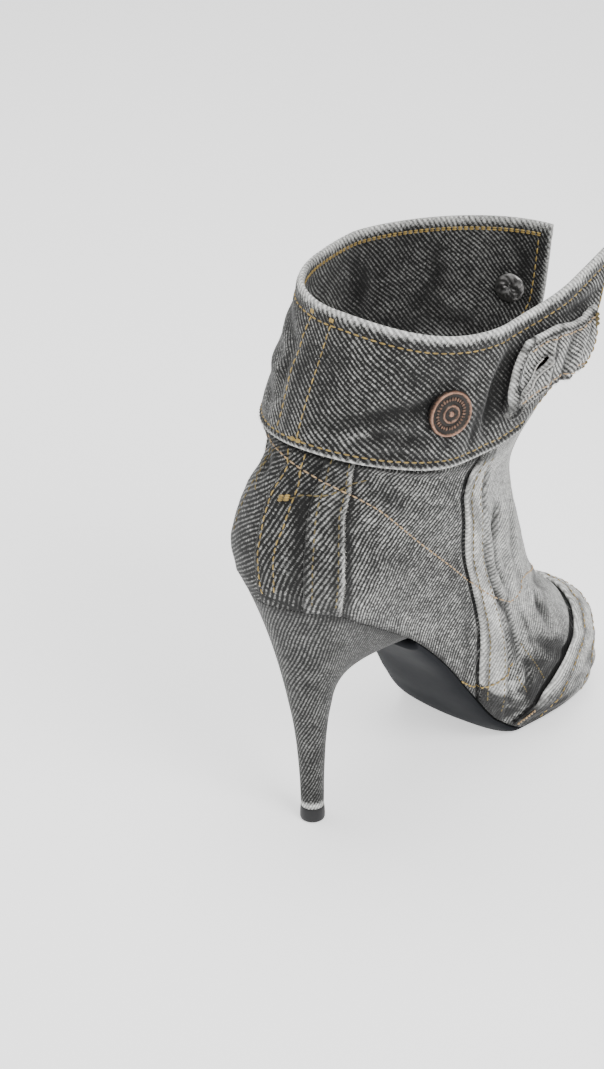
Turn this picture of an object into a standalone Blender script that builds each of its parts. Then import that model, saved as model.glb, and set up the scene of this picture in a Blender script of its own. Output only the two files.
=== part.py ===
"""Peep toe ankle boot, right shoe, covered stiletto heel and an open waistband cuff.

Metres, +Z up.  The toe points to -Y and the little-toe side to -X.  The origin is
the middle of the heel tip where it stands on the ground.
"""
import bpy
import numpy as np

MM = 0.001

# Driving sizes
FOOT_LENGTH = 200.0 * MM     # heel end to toe tip of the sole line
HEEL_SETBACK = 27.0 * MM     # how far the heel end lies behind the heel tip
SEAT_HEIGHT = 107.0 * MM     # sole line at the heel end
SHAFT_RISE = 59.0 * MM       # sole line to the cuff's lower edge at the back
THROAT_HEIGHT = 135.0 * MM   # ground to the front of the ankle
BALL_WIDTH = 78.0 * MM       # width of the upper over the ball
SOLE_WIDTH = 0.82 * BALL_WIDTH   # the sole is drawn in under the upper
WALL = 2.0 * MM              # upper, lining and fabric together
CUFF_TUCK = 1.7 * MM         # the shaft steps in where the cuff laps over it
BAND_TUCK = 0.5 * MM         # and under the hem of the toe opening
CUFF_WALL = 2.8 * MM         # folded waistband
CUFF_THIN = 0.35             # share of the thickness lost at the rolled edges
STRIP_WALL = 0.9 * MM        # felled seams laid on the upper
BAND_WALL = 1.2 * MM         # hem around the toe opening
INSOLE_WALL = 1.8 * MM
GAP = 0.3 * MM               # clearance between curved pieces
LAID = 0.6 * MM              # clearance under overlays on the facets of the upper
TIP_HEIGHT = 6.0 * MM        # rubber top piece of the heel
TAB_WALL = 2.6 * MM
TAB_BULGE = 2.0 * MM         # how far the middle of the strap stands off its edges
BUTTON_RADIUS = 8.8 * MM
BUTTON_HEIGHT = 3.2 * MM
UNDER_RADIUS = 7.7 * MM      # flat button under the strap
UNDER_HEIGHT = 1.5 * MM
TACK_RADIUS = 4.8 * MM
TACK_HEIGHT = 1.6 * MM
TACK_SINK = 0.9 * MM         # how far the flat tack stands off the curved cuff

# Sole line, one row per station: fore as a share of FOOT_LENGTH, up of SEAT_HEIGHT,
# half widths of SOLE_WIDTH.
SOLE_LINE = [
    dict(fore=0.00, up=1.000, lateral=0.30, medial=0.30),
    dict(fore=0.06, up=0.975, lateral=0.33, medial=0.33),
    dict(fore=0.13, up=0.895, lateral=0.36, medial=0.35),
    dict(fore=0.23, up=0.775, lateral=0.37, medial=0.35),
    dict(fore=0.30, up=0.680, lateral=0.36, medial=0.29),
    dict(fore=0.40, up=0.500, lateral=0.36, medial=0.26),
    dict(fore=0.50, up=0.270, lateral=0.37, medial=0.36),
    dict(fore=0.58, up=0.100, lateral=0.39, medial=0.44),
    dict(fore=0.64, up=0.034, lateral=0.42, medial=0.50),
    dict(fore=0.74, up=0.034, lateral=0.46, medial=0.51),
    dict(fore=0.83, up=0.034, lateral=0.47, medial=0.48),
    dict(fore=0.92, up=0.048, lateral=0.45, medial=0.44),
    dict(fore=1.00, up=0.088, lateral=0.42, medial=0.42),
]

# Rings of the outer surface from just over the sole to the top of the cuff.
# back and front: fore as a share of FOOT_LENGTH; back_up of SHAFT_RISE over the seat;
# front_up of THROAT_HEIGHT; widths of BALL_WIDTH at heel, waist and ball;
# caps are the shares of a ring's length taken by its rounded ends; open is how wide
# each side still stands at its front end (1 straight on, 0 closed, under 0 across);
# sag follows the arch; drift shifts sideways; dip hollows the edge between its ends.
RINGS = [
    dict(name="feather", back=-0.012, back_up=0.13, front=0.995, front_up=0.140,
         lat_heel=0.340, lat_waist=0.33, lat_ball=0.455, med_heel=0.350, med_waist=0.29,
         med_ball=0.46, lat_cap=0.18, med_cap=0.16, front_cap=0.30, lat_open=0.0,
         med_open=0.0, sag=0.92, drift=0.0, lat_dip=0.0, med_dip=0.0, dip_at=1.0),
    dict(name="bulge", back=-0.016, back_up=0.33, front=0.970, front_up=0.225,
         lat_heel=0.380, lat_waist=0.38, lat_ball=0.470, med_heel=0.395, med_waist=0.34,
         med_ball=0.46, lat_cap=0.20, med_cap=0.18, front_cap=0.34, lat_open=0.0,
         med_open=0.0, sag=0.60, drift=0.0, lat_dip=0.0, med_dip=0.0, dip_at=1.0),
    dict(name="vamp", back=-0.004, back_up=0.52, front=0.880, front_up=0.325,
         lat_heel=0.390, lat_waist=0.41, lat_ball=0.430, med_heel=0.390, med_waist=0.37,
         med_ball=0.41, lat_cap=0.23, med_cap=0.21, front_cap=0.42, lat_open=0.0,
         med_open=0.0, sag=0.25, drift=0.0, lat_dip=0.0, med_dip=0.0, dip_at=1.0),
    dict(name="waist", back=0.018, back_up=0.70, front=0.785, front_up=0.450,
         lat_heel=0.385, lat_waist=0.42, lat_ball=0.400, med_heel=0.375, med_waist=0.38,
         med_ball=0.38, lat_cap=0.28, med_cap=0.25, front_cap=0.47, lat_open=0.0,
         med_open=0.0, sag=0.08, drift=0.0, lat_dip=0.0, med_dip=0.0, dip_at=1.0),
    dict(name="instep", back=0.045, back_up=0.85, front=0.722, front_up=0.640,
         lat_heel=0.375, lat_waist=0.42, lat_ball=0.380, med_heel=0.365, med_waist=0.38,
         med_ball=0.36, lat_cap=0.33, med_cap=0.30, front_cap=0.48, lat_open=0.0,
         med_open=0.0, sag=0.0, drift=0.02, lat_dip=0.0, med_dip=0.0, dip_at=1.0),
    dict(name="ankle", back=0.060, back_up=0.93, front=0.660, front_up=0.860,
         lat_heel=0.370, lat_waist=0.42, lat_ball=0.390, med_heel=0.365, med_waist=0.39,
         med_ball=0.37, lat_cap=0.38, med_cap=0.34, front_cap=0.48, lat_open=0.0,
         med_open=0.0, sag=0.0, drift=0.035, lat_dip=0.0, med_dip=0.0, dip_at=1.0),
    dict(name="cuff low", back=0.070, back_up=1.00, front=0.600, front_up=1.210,
         lat_heel=0.370, lat_waist=0.44, lat_ball=0.480, med_heel=0.410, med_waist=0.45,
         med_ball=0.44, lat_cap=0.38, med_cap=0.34, front_cap=0.50, lat_open=0.92,
         med_open=-0.30, sag=0.0, drift=0.05, lat_dip=0.085, med_dip=-0.015, dip_at=1.0),
    dict(name="cuff mid", back=0.122, back_up=1.37, front=0.672, front_up=1.400,
         lat_heel=0.385, lat_waist=0.46, lat_ball=0.545, med_heel=0.420, med_waist=0.44,
         med_ball=0.43, lat_cap=0.34, med_cap=0.30, front_cap=0.50, lat_open=0.97,
         med_open=-0.52, sag=0.0, drift=0.065, lat_dip=0.080, med_dip=-0.018, dip_at=0.8),
    dict(name="cuff top", back=0.175, back_up=1.75, front=0.678, front_up=1.610,
         lat_heel=0.420, lat_waist=0.50, lat_ball=0.550, med_heel=0.400, med_waist=0.43,
         med_ball=0.42, lat_cap=0.30, med_cap=0.30, front_cap=0.50, lat_open=1.00,
         med_open=-0.56, sag=0.0, drift=0.077, lat_dip=0.078, med_dip=-0.020, dip_at=0.8),
]
CUFF_LOW = 7.0       # ring numbers, counted from 1 as in the table
CUFF_TOP = 9.0
CUFF_END = (0.66, 0.88, 1.0)   # q of the front end at the foot, middle and top of the cuff
SLIT_RING = 6.05     # foot of the front slit
BACK_POWER = 2.3
FRONT_POWER = 2.0
FLAP_POWER = 1.4
HALF_STEPS = 24      # facets along each side of the foot
SOLE_BACK_CAP = 0.13
SOLE_FRONT_CAP = 0.24
HEEL_KNOT = 0.12     # where along a ring the heel width ends and the ball width starts
BALL_KNOT = 0.76

# Heel stem, one row per height share of SEAT_HEIGHT; sizes as shares of SOLE_WIDTH.
STEM = [
    dict(up=0.055, back=-0.072, front=0.070, half=0.070),
    dict(up=0.150, back=-0.080, front=0.070, half=0.072),
    dict(up=0.300, back=-0.102, front=0.075, half=0.084),
    dict(up=0.420, back=-0.130, front=0.088, half=0.104),
    dict(up=0.520, back=-0.165, front=0.115, half=0.132),
]
BREAST_SHARE = 0.30      # heel breast along the sole line
BALL_SHARE = 0.74        # middle of the tread along the sole line
SEAT_STEP = 0.006        # from the breast to the start of the sole
TIP_SHARE = 0.077        # radius of the top piece, of SOLE_WIDTH
FLARE_LIFT = 0.55        # how long the stem goes straight up into the flare
STEM_STEPS = 28          # facets around the heel
STEM_RINGS = 6
FLARE_RINGS = 8
BREAST_START = 0.74      # the flare narrows to the breast over this share of a turn
BREAST_CAP = 0.27
BREAST_POWER = 2.6
SEAT_SHARES = (0.70, 0.35)   # loops of the seat inside its rim

# Grids of the upper's panels
UPPER_ROWS = 22
CUFF_COLS = 48
CUFF_ROWS = 7
BAND_COLS = 29
BAND_ROWS = 9
STRIP_COLS = 4
STRIP_ROWS = 22
STRAP_COLS = 17
STRAP_ROWS = 7
SLAB_COLS = 6
ROUND_STEPS = 20         # facets around a button or the tack

# Where the fittings sit: ring number and q of their middles.
SIDE_BUTTON = dict(ring=7.92, q=0.350)
STRAP_BUTTON = dict(ring=8.06, q=0.600)
FLAP_BUTTON = dict(ring=8.07, q=-0.902)

PEEP = dict(ring=2.15, reach=0.215)       # edge of the toe opening: top ring and half reach in q
BAND_SEAM = dict(ring=2.98, reach=0.425)  # far edge of the hem
BAND_SWEEP = 0.975       # share of the quarter turns the hem covers before the sole

REBATE = dict(ring=3.20, reach=0.470)     # the upper steps in a little wider than the hem


def place(fore, lateral, up):
    """World point of a point given forward, to the little-toe side and up."""
    return np.stack(np.broadcast_arrays(-lateral, -fore, up), -1)


def through(knots, values, at):
    """Smooth curve through a table column without overshoot."""
    knots = np.asarray(knots, float)
    values = np.asarray(values, float)
    at = np.clip(np.asarray(at, float), knots[0], knots[-1])
    step = np.diff(knots)
    rate = np.diff(values) / step
    slope = np.zeros(len(knots))
    both = rate[1:] * rate[:-1] > 0
    mean = 2 * rate[1:] * rate[:-1] / np.where(both, rate[1:] + rate[:-1], 1.0)
    slope[1:-1] = np.where(both, mean, 0.0)
    slope[0], slope[-1] = rate[0], rate[-1]
    i = np.clip(np.searchsorted(knots, at, side="right") - 1, 0, len(knots) - 2)
    h = step[i]
    t = (at - knots[i]) / h
    rise = t * t * (3 - 2 * t)
    return (values[i] * (1 - rise) + values[i + 1] * rise
            + h * slope[i] * t * (1 - t) ** 2 - h * slope[i + 1] * t * t * (1 - t))


def ease(t):
    t = np.clip(t, 0.0, 1.0)
    return t * t * (3 - 2 * t)


def sole_line(column, share):
    return through([r["fore"] for r in SOLE_LINE], [r[column] for r in SOLE_LINE], share)


def ring_value(column, ring):
    return through(np.arange(1, len(RINGS) + 1), [r[column] for r in RINGS], ring)


def rounded(share, cap, power):
    return np.sqrt(np.clip(1 - np.clip(share / cap, 0, 1) ** power, 0, 1))


def sole_edge(q):
    """Sole line at q: -1 and 1 the toe tip, 0 the heel end, above 0 the little-toe side."""
    x = (1 - np.cos(np.pi * q)) / 2
    half = np.where(q >= 0, sole_line("lateral", x), -sole_line("medial", x)) * SOLE_WIDTH
    half = half * rounded(SOLE_BACK_CAP - x, SOLE_BACK_CAP, BACK_POWER)
    half = half * rounded(x - 1 + SOLE_FRONT_CAP, SOLE_FRONT_CAP, FRONT_POWER)
    return x * FOOT_LENGTH - HEEL_SETBACK, half, sole_line("up", x) * SEAT_HEIGHT


def surface(ring, q):
    """Outer surface as (fore, lateral, up); ring 0 is the sole line."""
    ring, q = np.broadcast_arrays(np.asarray(ring, float), np.asarray(q, float))
    x = (1 - np.cos(np.pi * q)) / 2
    outer = q >= 0

    def value(column):
        return ring_value(column, np.maximum(ring, 1.0))

    def side(column):
        return np.where(outer, value("lat_" + column), value("med_" + column))

    back = value("back") * FOOT_LENGTH - HEEL_SETBACK
    front = value("front") * FOOT_LENGTH - HEEL_SETBACK
    back_up = SEAT_HEIGHT + value("back_up") * SHAFT_RISE
    front_up = value("front_up") * THROAT_HEIGHT
    toe_up = sole_line("up", 1.0)
    arch = (sole_line("up", x) - 1 - (toe_up - 1) * x) * SEAT_HEIGHT
    dip = side("dip") * THROAT_HEIGHT * np.sin(np.pi * x ** value("dip_at"))
    fore = back + (front - back) * x
    up = back_up + (front_up - back_up) * x + value("sag") * arch - dip
    t = (x - HEEL_KNOT) / (BALL_KNOT - HEEL_KNOT)
    half = side("heel") + (side("waist") - side("heel")) * ease(2 * t)
    half = half + (side("ball") - side("waist")) * ease(2 * t - 1)
    opening = side("open")
    power = FRONT_POWER + (FLAP_POWER - FRONT_POWER) * ease(np.abs(value("med_open")) * 2)
    nose = opening + (1 - opening) * rounded(x - 1 + value("front_cap"), value("front_cap"), power)
    half = half * rounded(side("cap") - x, side("cap"), BACK_POWER) * nose
    lateral = (np.where(outer, half, -half) + value("drift")) * BALL_WIDTH
    shell = np.stack([fore, lateral, up], -1)
    sole = np.stack(np.broadcast_arrays(*sole_edge(q)), -1)
    k = np.clip(ring, 0, 1)[..., None]
    return sole + (shell - sole) * k


def normal(ring, q):
    """Outward direction of the surface; level with the ground along the sole line."""
    ring, q = np.broadcast_arrays(np.asarray(ring, float), np.asarray(q, float))
    dr, dq = 0.05, 0.004
    along = surface(np.minimum(ring + dr, CUFF_TOP), q) - surface(np.maximum(ring - dr, 0), q)
    q0 = np.where(q >= 0, np.clip(q - dq, 0, 1), np.clip(q - dq, -1, 0))
    q1 = np.where(q >= 0, np.clip(q + dq, 0, 1), np.clip(q + dq, -1, -1e-9))
    around = surface(ring, q1) - surface(ring, q0)
    n = np.cross(along, around)
    n = n / np.linalg.norm(n, axis=-1, keepdims=True)
    flat = ease(ring / 0.8)
    n[..., 2] = n[..., 2] * flat
    return n / np.linalg.norm(n, axis=-1, keepdims=True)


def lifted(ring, q, height):
    """World point lifted off the outer surface."""
    p = surface(ring, q) + normal(ring, q) * np.asarray(height)[..., None]
    return place(p[..., 0], p[..., 1], p[..., 2])


# Building solids
def material(name, colour, rough, metal=0.0):
    m = bpy.data.materials.new(name)
    m.use_nodes = True
    b = m.node_tree.nodes["Principled BSDF"]
    b.inputs["Base Color"].default_value = (*colour, 1.0)
    b.inputs["Roughness"].default_value = rough
    b.inputs["Metallic"].default_value = metal
    m.diffuse_color = (*colour, 1.0)
    return m


def solid(name, points, faces, mat):
    mesh = bpy.data.meshes.new(name)
    mesh.from_pydata([tuple(p) for p in points], [], faces)
    mesh.update()
    ob = bpy.data.objects.new(name, mesh)
    bpy.context.scene.collection.objects.link(ob)
    mesh.materials.append(mat)
    return ob


def volume(points, tris):
    a, b, c = (points[[t[k] for t in tris]] for k in range(3))
    return np.einsum("ij,ij->i", a, np.cross(b, c)).sum() / 6


def sheet(name, outer, inner, mat, wrap=False, skip=None):
    """Closed body between two grids of the same size; skip marks cells left open."""
    rows, cols = outer.shape[:2]
    keep = np.ones((rows - 1, cols if wrap else cols - 1), bool)
    if skip is not None:
        keep &= ~skip
    shift = rows * cols

    def at(i, j, base=0):
        return base + i * cols + j % cols

    tris = []
    edges = {}
    for i in range(keep.shape[0]):
        for j in range(keep.shape[1]):
            if not keep[i, j]:
                continue
            a, b, c, d = at(i, j), at(i, j + 1), at(i + 1, j + 1), at(i + 1, j)
            for t in ((a, b, c), (a, c, d)):
                tris.append(t)
                tris.append((t[2] + shift, t[1] + shift, t[0] + shift))
            for e in ((a, b), (b, c), (c, d), (d, a)):
                if (e[1], e[0]) in edges:
                    del edges[(e[1], e[0])]
                else:
                    edges[e] = True
    for a, b in edges:
        tris.append((b, a, a + shift))
        tris.append((b, a + shift, b + shift))
    points = np.concatenate([outer.reshape(-1, 3), inner.reshape(-1, 3)])
    used = sorted({k for t in tris for k in t})
    new = {k: n for n, k in enumerate(used)}
    points = points[used]
    tris = [tuple(new[k] for k in t) for t in tris]
    if volume(points, tris) < 0:
        tris = [t[::-1] for t in tris]
    return solid(name, points, tris, mat)


def tube(name, loops, mat):
    """Closed body through loops of equal length with flat fans at both ends."""
    n = len(loops[0])
    points = np.concatenate(list(loops) + [loops[0].mean(0)[None], loops[-1].mean(0)[None]])
    tris = []
    for i in range(len(loops) - 1):
        for j in range(n):
            a, b = i * n + j, i * n + (j + 1) % n
            tris += [(a, b, b + n), (a, b + n, a + n)]
    foot, head = len(points) - 2, len(points) - 1
    last = (len(loops) - 1) * n
    for j in range(n):
        tris.append((foot, (j + 1) % n, j))
        tris.append((head, last + j, last + (j + 1) % n))
    if volume(points, tris) < 0:
        tris = [t[::-1] for t in tris]
    return solid(name, points, tris, mat)


def turned(name, profile, base, axis, mat, steps=ROUND_STEPS):
    """Round body from (radius, height) pairs about an axis at a world point."""
    axis = np.asarray(axis) / np.linalg.norm(axis)
    side = np.cross(axis, [0.0, 0.0, 1.0] if abs(axis[2]) < 0.9 else [1.0, 0.0, 0.0])
    side = side / np.linalg.norm(side)
    other = np.cross(axis, side)
    turn = np.linspace(0, 2 * np.pi, steps, endpoint=False)[:, None]
    loops = []
    for radius, height in profile:
        ring = (np.cos(turn) * side + np.sin(turn) * other) * radius
        loops.append(np.asarray(base) + ring + axis * height)
    return tube(name, loops, mat)


# Pieces
def edge_ring(q, edge):
    """Ring number of a rounded edge about the toe tip, 0 outside its reach."""
    d = (1 - np.abs(q)) / edge["reach"]
    return edge["ring"] * np.sqrt(np.clip(1 - d * d, 0, 1))


def top_ring(q):
    """Upper edge of the shaft: hidden in the cuff, slit down at the front."""
    d = 1 - np.abs(q)
    outer = q > 0
    level = CUFF_LOW + 0.3 + np.where(outer, 0.55 * ease((q - 0.55) / 0.2), 0.0)
    return SLIT_RING + (level - SLIT_RING) * ease(d / np.where(outer, 0.16, 0.22)) ** 0.6


def build_upper(mat):
    q = np.arange(-HALF_STEPS, HALF_STEPS) / HALF_STEPS
    low = edge_ring(q, PEEP)
    high = top_ring(q)
    k = np.linspace(0, 1, UPPER_ROWS)[:, None]
    ring = low + (high - low) * (k * 0.65 + 0.35 * k * k)
    grid_q = np.broadcast_to(q, ring.shape)
    tuck = -CUFF_TUCK * ease((ring - CUFF_LOW + 0.45) / 0.35)
    tuck = tuck - BAND_TUCK * ease((edge_ring(grid_q, REBATE) - ring) / 0.25)
    outer = lifted(ring, grid_q, tuck)
    inner = lifted(ring, grid_q, tuck - WALL)
    return sheet("upper", outer, inner, mat, wrap=True)


def steepness(share):
    """Length of the sole line per length on the ground."""
    step = 0.01
    rise = (sole_line("up", share + step) - sole_line("up", share - step)) * SEAT_HEIGHT
    run = (np.clip(share + step, 0, 1) - np.clip(share - step, 0, 1)) * FOOT_LENGTH
    return np.sqrt(1 + (rise / run) ** 2)


def sole_slab(name, mat, stations, outline, first, last, inset, lift, thick):
    """Slab along the sole line; outline runs 0 to 1 along the edge it follows."""
    q = np.arccos(np.clip(1 - 2 * outline, -1, 1)) / np.pi
    lat = np.maximum(sole_edge(q)[1] - inset, 0.4 * MM)
    med = np.minimum(sole_edge(-q)[1] + inset, -0.4 * MM)
    share = first + (last - first) * stations
    w = np.linspace(0, 1, SLAB_COLS)[:, None]
    side = lat + (med - lat) * w
    k = steepness(share)
    fore = np.broadcast_to(share * FOOT_LENGTH - HEEL_SETBACK, side.shape)
    base = sole_line("up", share) * SEAT_HEIGHT + lift * k
    low = np.broadcast_to(base, side.shape)
    high = np.broadcast_to(base + thick * k, side.shape)
    return sheet(name, place(fore, side, high), place(fore, side, low), mat)


def facet_shares():
    """Shares of the length at which the upper's lower edge has its corners."""
    return (1 - np.cos(np.arange(HALF_STEPS + 1) * np.pi / HALF_STEPS)) / 2


def build_outsole(mat):
    tread = sole_line("up", BALL_SHARE) * SEAT_HEIGHT
    share = facet_shares()
    start = BREAST_SHARE + SEAT_STEP
    share = np.concatenate([[start], share[share > start + SEAT_STEP]])
    return sole_slab("outsole", mat, share, share, 0.0, 1.0, 0.0, -tread, tread - GAP)


def build_insole(mat):
    share = facet_shares()
    edge = WALL + 4 * GAP
    return sole_slab("insole", mat, share, share, edge * 1.3 / FOOT_LENGTH, 1 - edge / FOOT_LENGTH,
                     edge, GAP / 2, INSOLE_WALL)


def build_heel(mat):
    turn = np.linspace(-np.pi, np.pi, STEM_STEPS, endpoint=False)
    loops = []
    heights = np.linspace(0, 1, STEM_RINGS)
    ups = STEM[0]["up"] + (STEM[-1]["up"] - STEM[0]["up"]) * heights
    keys = [r["up"] for r in STEM]
    for up in ups:
        back, front, half = (through(keys, [r[c] for r in STEM], up) * SOLE_WIDTH
                             for c in ("back", "front", "half"))
        fore = (back + front) / 2 - (front - back) / 2 * np.cos(turn)
        z = np.full(STEM_STEPS, up * SEAT_HEIGHT)
        z = np.maximum(z, TIP_HEIGHT + GAP) if up == ups[0] else z
        loops.append(np.stack([fore, half * np.sin(turn), z], -1))
    share = BREAST_SHARE * (1 - np.cos(turn)) / 2
    q = np.sign(turn) * np.arccos(1 - 2 * share) / np.pi
    fore, side, _ = sole_edge(q)
    squeeze = rounded(np.abs(turn) / np.pi - BREAST_START, BREAST_CAP, BREAST_POWER)
    fore = np.maximum(fore, -HEEL_SETBACK)
    side = side * squeeze

    def seat(f):
        at = (f + HEEL_SETBACK) / FOOT_LENGTH
        return sole_line("up", at) * SEAT_HEIGHT - GAP * steepness(at)

    rim = np.stack([fore, side, seat(fore)], -1)
    start = loops[-1]
    lean = loops[-1] - loops[-2]
    pull = start + lean / np.abs(lean[:, 2:3]) * (rim[:, 2:3] - start[:, 2:3]) * FLARE_LIFT
    for w in np.linspace(0, 1, FLARE_RINGS)[1:]:
        loops.append((1 - w) ** 2 * start + 2 * w * (1 - w) * pull + w * w * rim)
    centre = np.array([(rim[:, 0].min() + rim[:, 0].max()) / 2, 0.0])
    for k in SEAT_SHARES:
        flat = centre + (rim[:, :2] - centre) * k
        loops.append(np.column_stack([flat, seat(flat[:, 0])]))
    loops = [place(l[:, 0], l[:, 1], l[:, 2]) for l in loops]
    return tube("heel", loops, mat)


def cuff_front(ring):
    """Front end of the cuff on the little-toe side, in q."""
    return through([CUFF_LOW, (CUFF_LOW + CUFF_TOP) / 2, CUFF_TOP], CUFF_END, ring)


def build_cuff(mat):
    k = np.linspace(0, 1, CUFF_ROWS)[:, None]
    ring = CUFF_LOW + (CUFF_TOP - CUFF_LOW) * k
    w = np.linspace(0, 1, CUFF_COLS)[None, :]
    q = -1 + (cuff_front(ring) + 1) * w
    ring = np.broadcast_to(ring, q.shape)
    edge = 1 - CUFF_THIN * np.abs(2 * k - 1) ** 6
    outer = lifted(ring, q, np.broadcast_to(GAP + CUFF_WALL * edge, q.shape))
    inner = lifted(ring, q, np.full(q.shape, GAP))
    return sheet("cuff", outer, inner, mat)


def build_band(mat):
    turn = np.linspace(-1, 1, BAND_COLS)[None, :] * BAND_SWEEP * np.pi / 2
    k = np.linspace(0, 1, BAND_ROWS)[:, None]
    reach = PEEP["reach"] + (BAND_SEAM["reach"] - PEEP["reach"]) * k
    top = PEEP["ring"] + (BAND_SEAM["ring"] - PEEP["ring"]) * k
    d = reach * np.sin(turn)
    q = np.where(d >= 0, 1 - d, -1 - d)
    ring = top * np.cos(turn)
    outer = lifted(ring, q, np.full(q.shape, LAID + BAND_WALL))
    inner = lifted(ring, q, np.full(q.shape, LAID))
    return sheet("toe_band", outer, inner, mat)


# Felled seams: q of the near edge at the sole, the waist, the ankle and the cuff,
# and the width in q at the sole and at the cuff.
STRIPS = [
    dict(name="lateral_strip", q=(0.108, 0.106, 0.104, 0.100), foot=0.083, head=0.085),
    dict(name="medial_strip", q=(-0.345, -0.290, -0.230, -0.200), foot=-0.070, head=-0.085),
    dict(name="lateral_quarter_seam", q=(0.505, 0.487, 0.488, 0.570), foot=0.050, head=0.055),
    dict(name="medial_quarter_seam", q=(-0.505, -0.490, -0.490, -0.560), foot=-0.050, head=-0.055),
]
STRIP_RINGS = (0.0, 3.0, 5.5, 7.0)
STRIP_LOW = 0.10
STRIP_HIGH = 6.92


def build_strip(row, mat):
    k = np.linspace(0, 1, STRIP_ROWS)[:, None]
    w = np.linspace(0, 1, STRIP_COLS)[None, :]
    ring = STRIP_LOW + (STRIP_HIGH - STRIP_LOW) * k + 0 * w
    width = row["foot"] + (row["head"] - row["foot"]) * ring / CUFF_LOW
    q = through(STRIP_RINGS, row["q"], ring) + width * w
    outer = lifted(ring, q, np.full(q.shape, LAID + STRIP_WALL))
    inner = lifted(ring, q, np.full(q.shape, LAID))
    return sheet(row["name"], outer, inner, mat)


# Adjuster strap, one row per share of its length from the sewn front end: q, ring and
# height of the outer face in millimetres along the upper edge and the lower edge.
STRAP = [
    dict(along=0.00, top_q=0.790, top_ring=8.46, top_up=6.6, low_q=0.760, low_ring=7.68, low_up=8.0),
    dict(along=0.35, top_q=0.690, top_ring=8.51, top_up=6.9, low_q=0.685, low_ring=7.76, low_up=8.0),
    dict(along=0.60, top_q=0.605, top_ring=8.68, top_up=7.6, low_q=0.635, low_ring=7.78, low_up=8.2),
    dict(along=0.80, top_q=0.540, top_ring=8.74, top_up=8.0, low_q=0.590, low_ring=7.68, low_up=7.8),
    dict(along=1.00, top_q=0.487, top_ring=8.70, top_up=7.4, low_q=0.550, low_ring=7.40, low_up=6.8),
]
STRAP_END = 0.030        # how far the free end bows back, in q


def strap_place(along, up):
    """Ring, q and height of the strap's outer face; up runs 0 to 1 from its lower edge."""
    keys = [r["along"] for r in STRAP]

    def value(column):
        low = through(keys, [r["low_" + column] for r in STRAP], along)
        top = through(keys, [r["top_" + column] for r in STRAP], along)
        return low + (top - low) * up

    bow = np.sin(np.pi * up)
    height = value("up") * MM + TAB_BULGE * bow
    return value("ring"), value("q") - STRAP_END * bow * along ** 2, height


def build_tab(mat):
    up = np.linspace(0, 1, STRAP_ROWS)[:, None]
    along = np.linspace(0, 1, STRAP_COLS)[None, :]
    ring, q, height = strap_place(along + 0 * up, up + 0 * along)
    buttonhole = np.zeros((STRAP_ROWS - 1, STRAP_COLS - 1), bool)
    buttonhole[3, 11:13] = True
    buttonhole[2, 12:15] = True
    return sheet("adjuster_tab", lifted(ring, q, height), lifted(ring, q, height - TAB_WALL), mat,
                 skip=buttonhole)


def button_profile(radius, height):
    return [(radius * 0.60, 0.0), (radius * 0.97, height * 0.18), (radius, height * 0.45),
            (radius * 0.94, height * 0.78), (radius * 0.82, height * 0.80),
            (radius * 0.74, height * 0.62), (radius * 0.52, height * 0.62),
            (radius * 0.46, height * 0.80), (radius * 0.36, height * 0.80),
            (radius * 0.30, height * 0.68), (radius * 0.14, height * 0.72),
            (radius * 0.10, height * 0.95)]


def on_surface(spot, height):
    """World point over a named spot of the cuff, and the way it faces."""
    n = normal(spot["ring"], spot["q"])
    return lifted(spot["ring"], spot["q"], height), place(n[..., 0], n[..., 1], n[..., 2])


def main():
    for ob in list(bpy.data.objects):
        bpy.data.objects.remove(ob, do_unlink=True)
    denim = material("denim", (0.16, 0.16, 0.165), 0.9)
    pale = material("pale_denim", (0.42, 0.42, 0.42), 0.9)
    black = material("black_rubber", (0.02, 0.02, 0.022), 0.6)
    sole = material("sole_black", (0.035, 0.037, 0.04), 0.5)
    copper = material("antique_copper", (0.25, 0.12, 0.07), 0.45, 1.0)
    steel = material("tack_metal", (0.35, 0.34, 0.33), 0.4, 1.0)
    lining = material("insole_lining", (0.05, 0.05, 0.052), 0.8)
    build_upper(denim)
    build_outsole(sole)
    build_insole(lining)
    build_heel(denim)
    radius = TIP_SHARE * SOLE_WIDTH
    turned("heel_tip", [(radius * 0.96, 0.0), (radius, TIP_HEIGHT * 0.3), (radius * 0.94, TIP_HEIGHT)],
           (0.0, 0.0, 0.0), (0.0, 0.0, 1.0), black, STEM_STEPS)
    build_cuff(denim)
    build_band(pale)
    for row in STRIPS:
        build_strip(row, denim)
    build_tab(denim)
    face = GAP + LAID + CUFF_WALL
    base, axis = on_surface(SIDE_BUTTON, face)
    turned("button", button_profile(BUTTON_RADIUS, BUTTON_HEIGHT), base, axis, copper)
    base, axis = on_surface(STRAP_BUTTON, face)
    disc = [(UNDER_RADIUS * 0.6, 0.0), (UNDER_RADIUS, UNDER_HEIGHT * 0.4),
            (UNDER_RADIUS * 0.9, UNDER_HEIGHT)]
    turned("strap_button", disc, base, axis, copper)
    base, axis = on_surface(FLAP_BUTTON, face)
    turned("closure_button", button_profile(BUTTON_RADIUS, BUTTON_HEIGHT), base, axis, copper)
    base, axis = on_surface(FLAP_BUTTON, -TACK_SINK)
    tack = [(TACK_RADIUS * 0.7, 0.0), (TACK_RADIUS, TACK_HEIGHT * 0.25),
            (TACK_RADIUS * 0.9, TACK_HEIGHT * 0.7), (TACK_RADIUS * 0.35, TACK_HEIGHT)]
    turned("tack_back", tack, base, -np.asarray(axis), steel)


main()
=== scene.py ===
"""Washed denim peep toe ankle boot: the looks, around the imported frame.

The first half repeats the shoe's shape functions and sizes from its source, so that
cloth, seams and folds follow the same surface.  The second half makes the pieces.
"""
import math

import bpy
import numpy as np
from mathutils import Matrix, Vector


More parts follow.
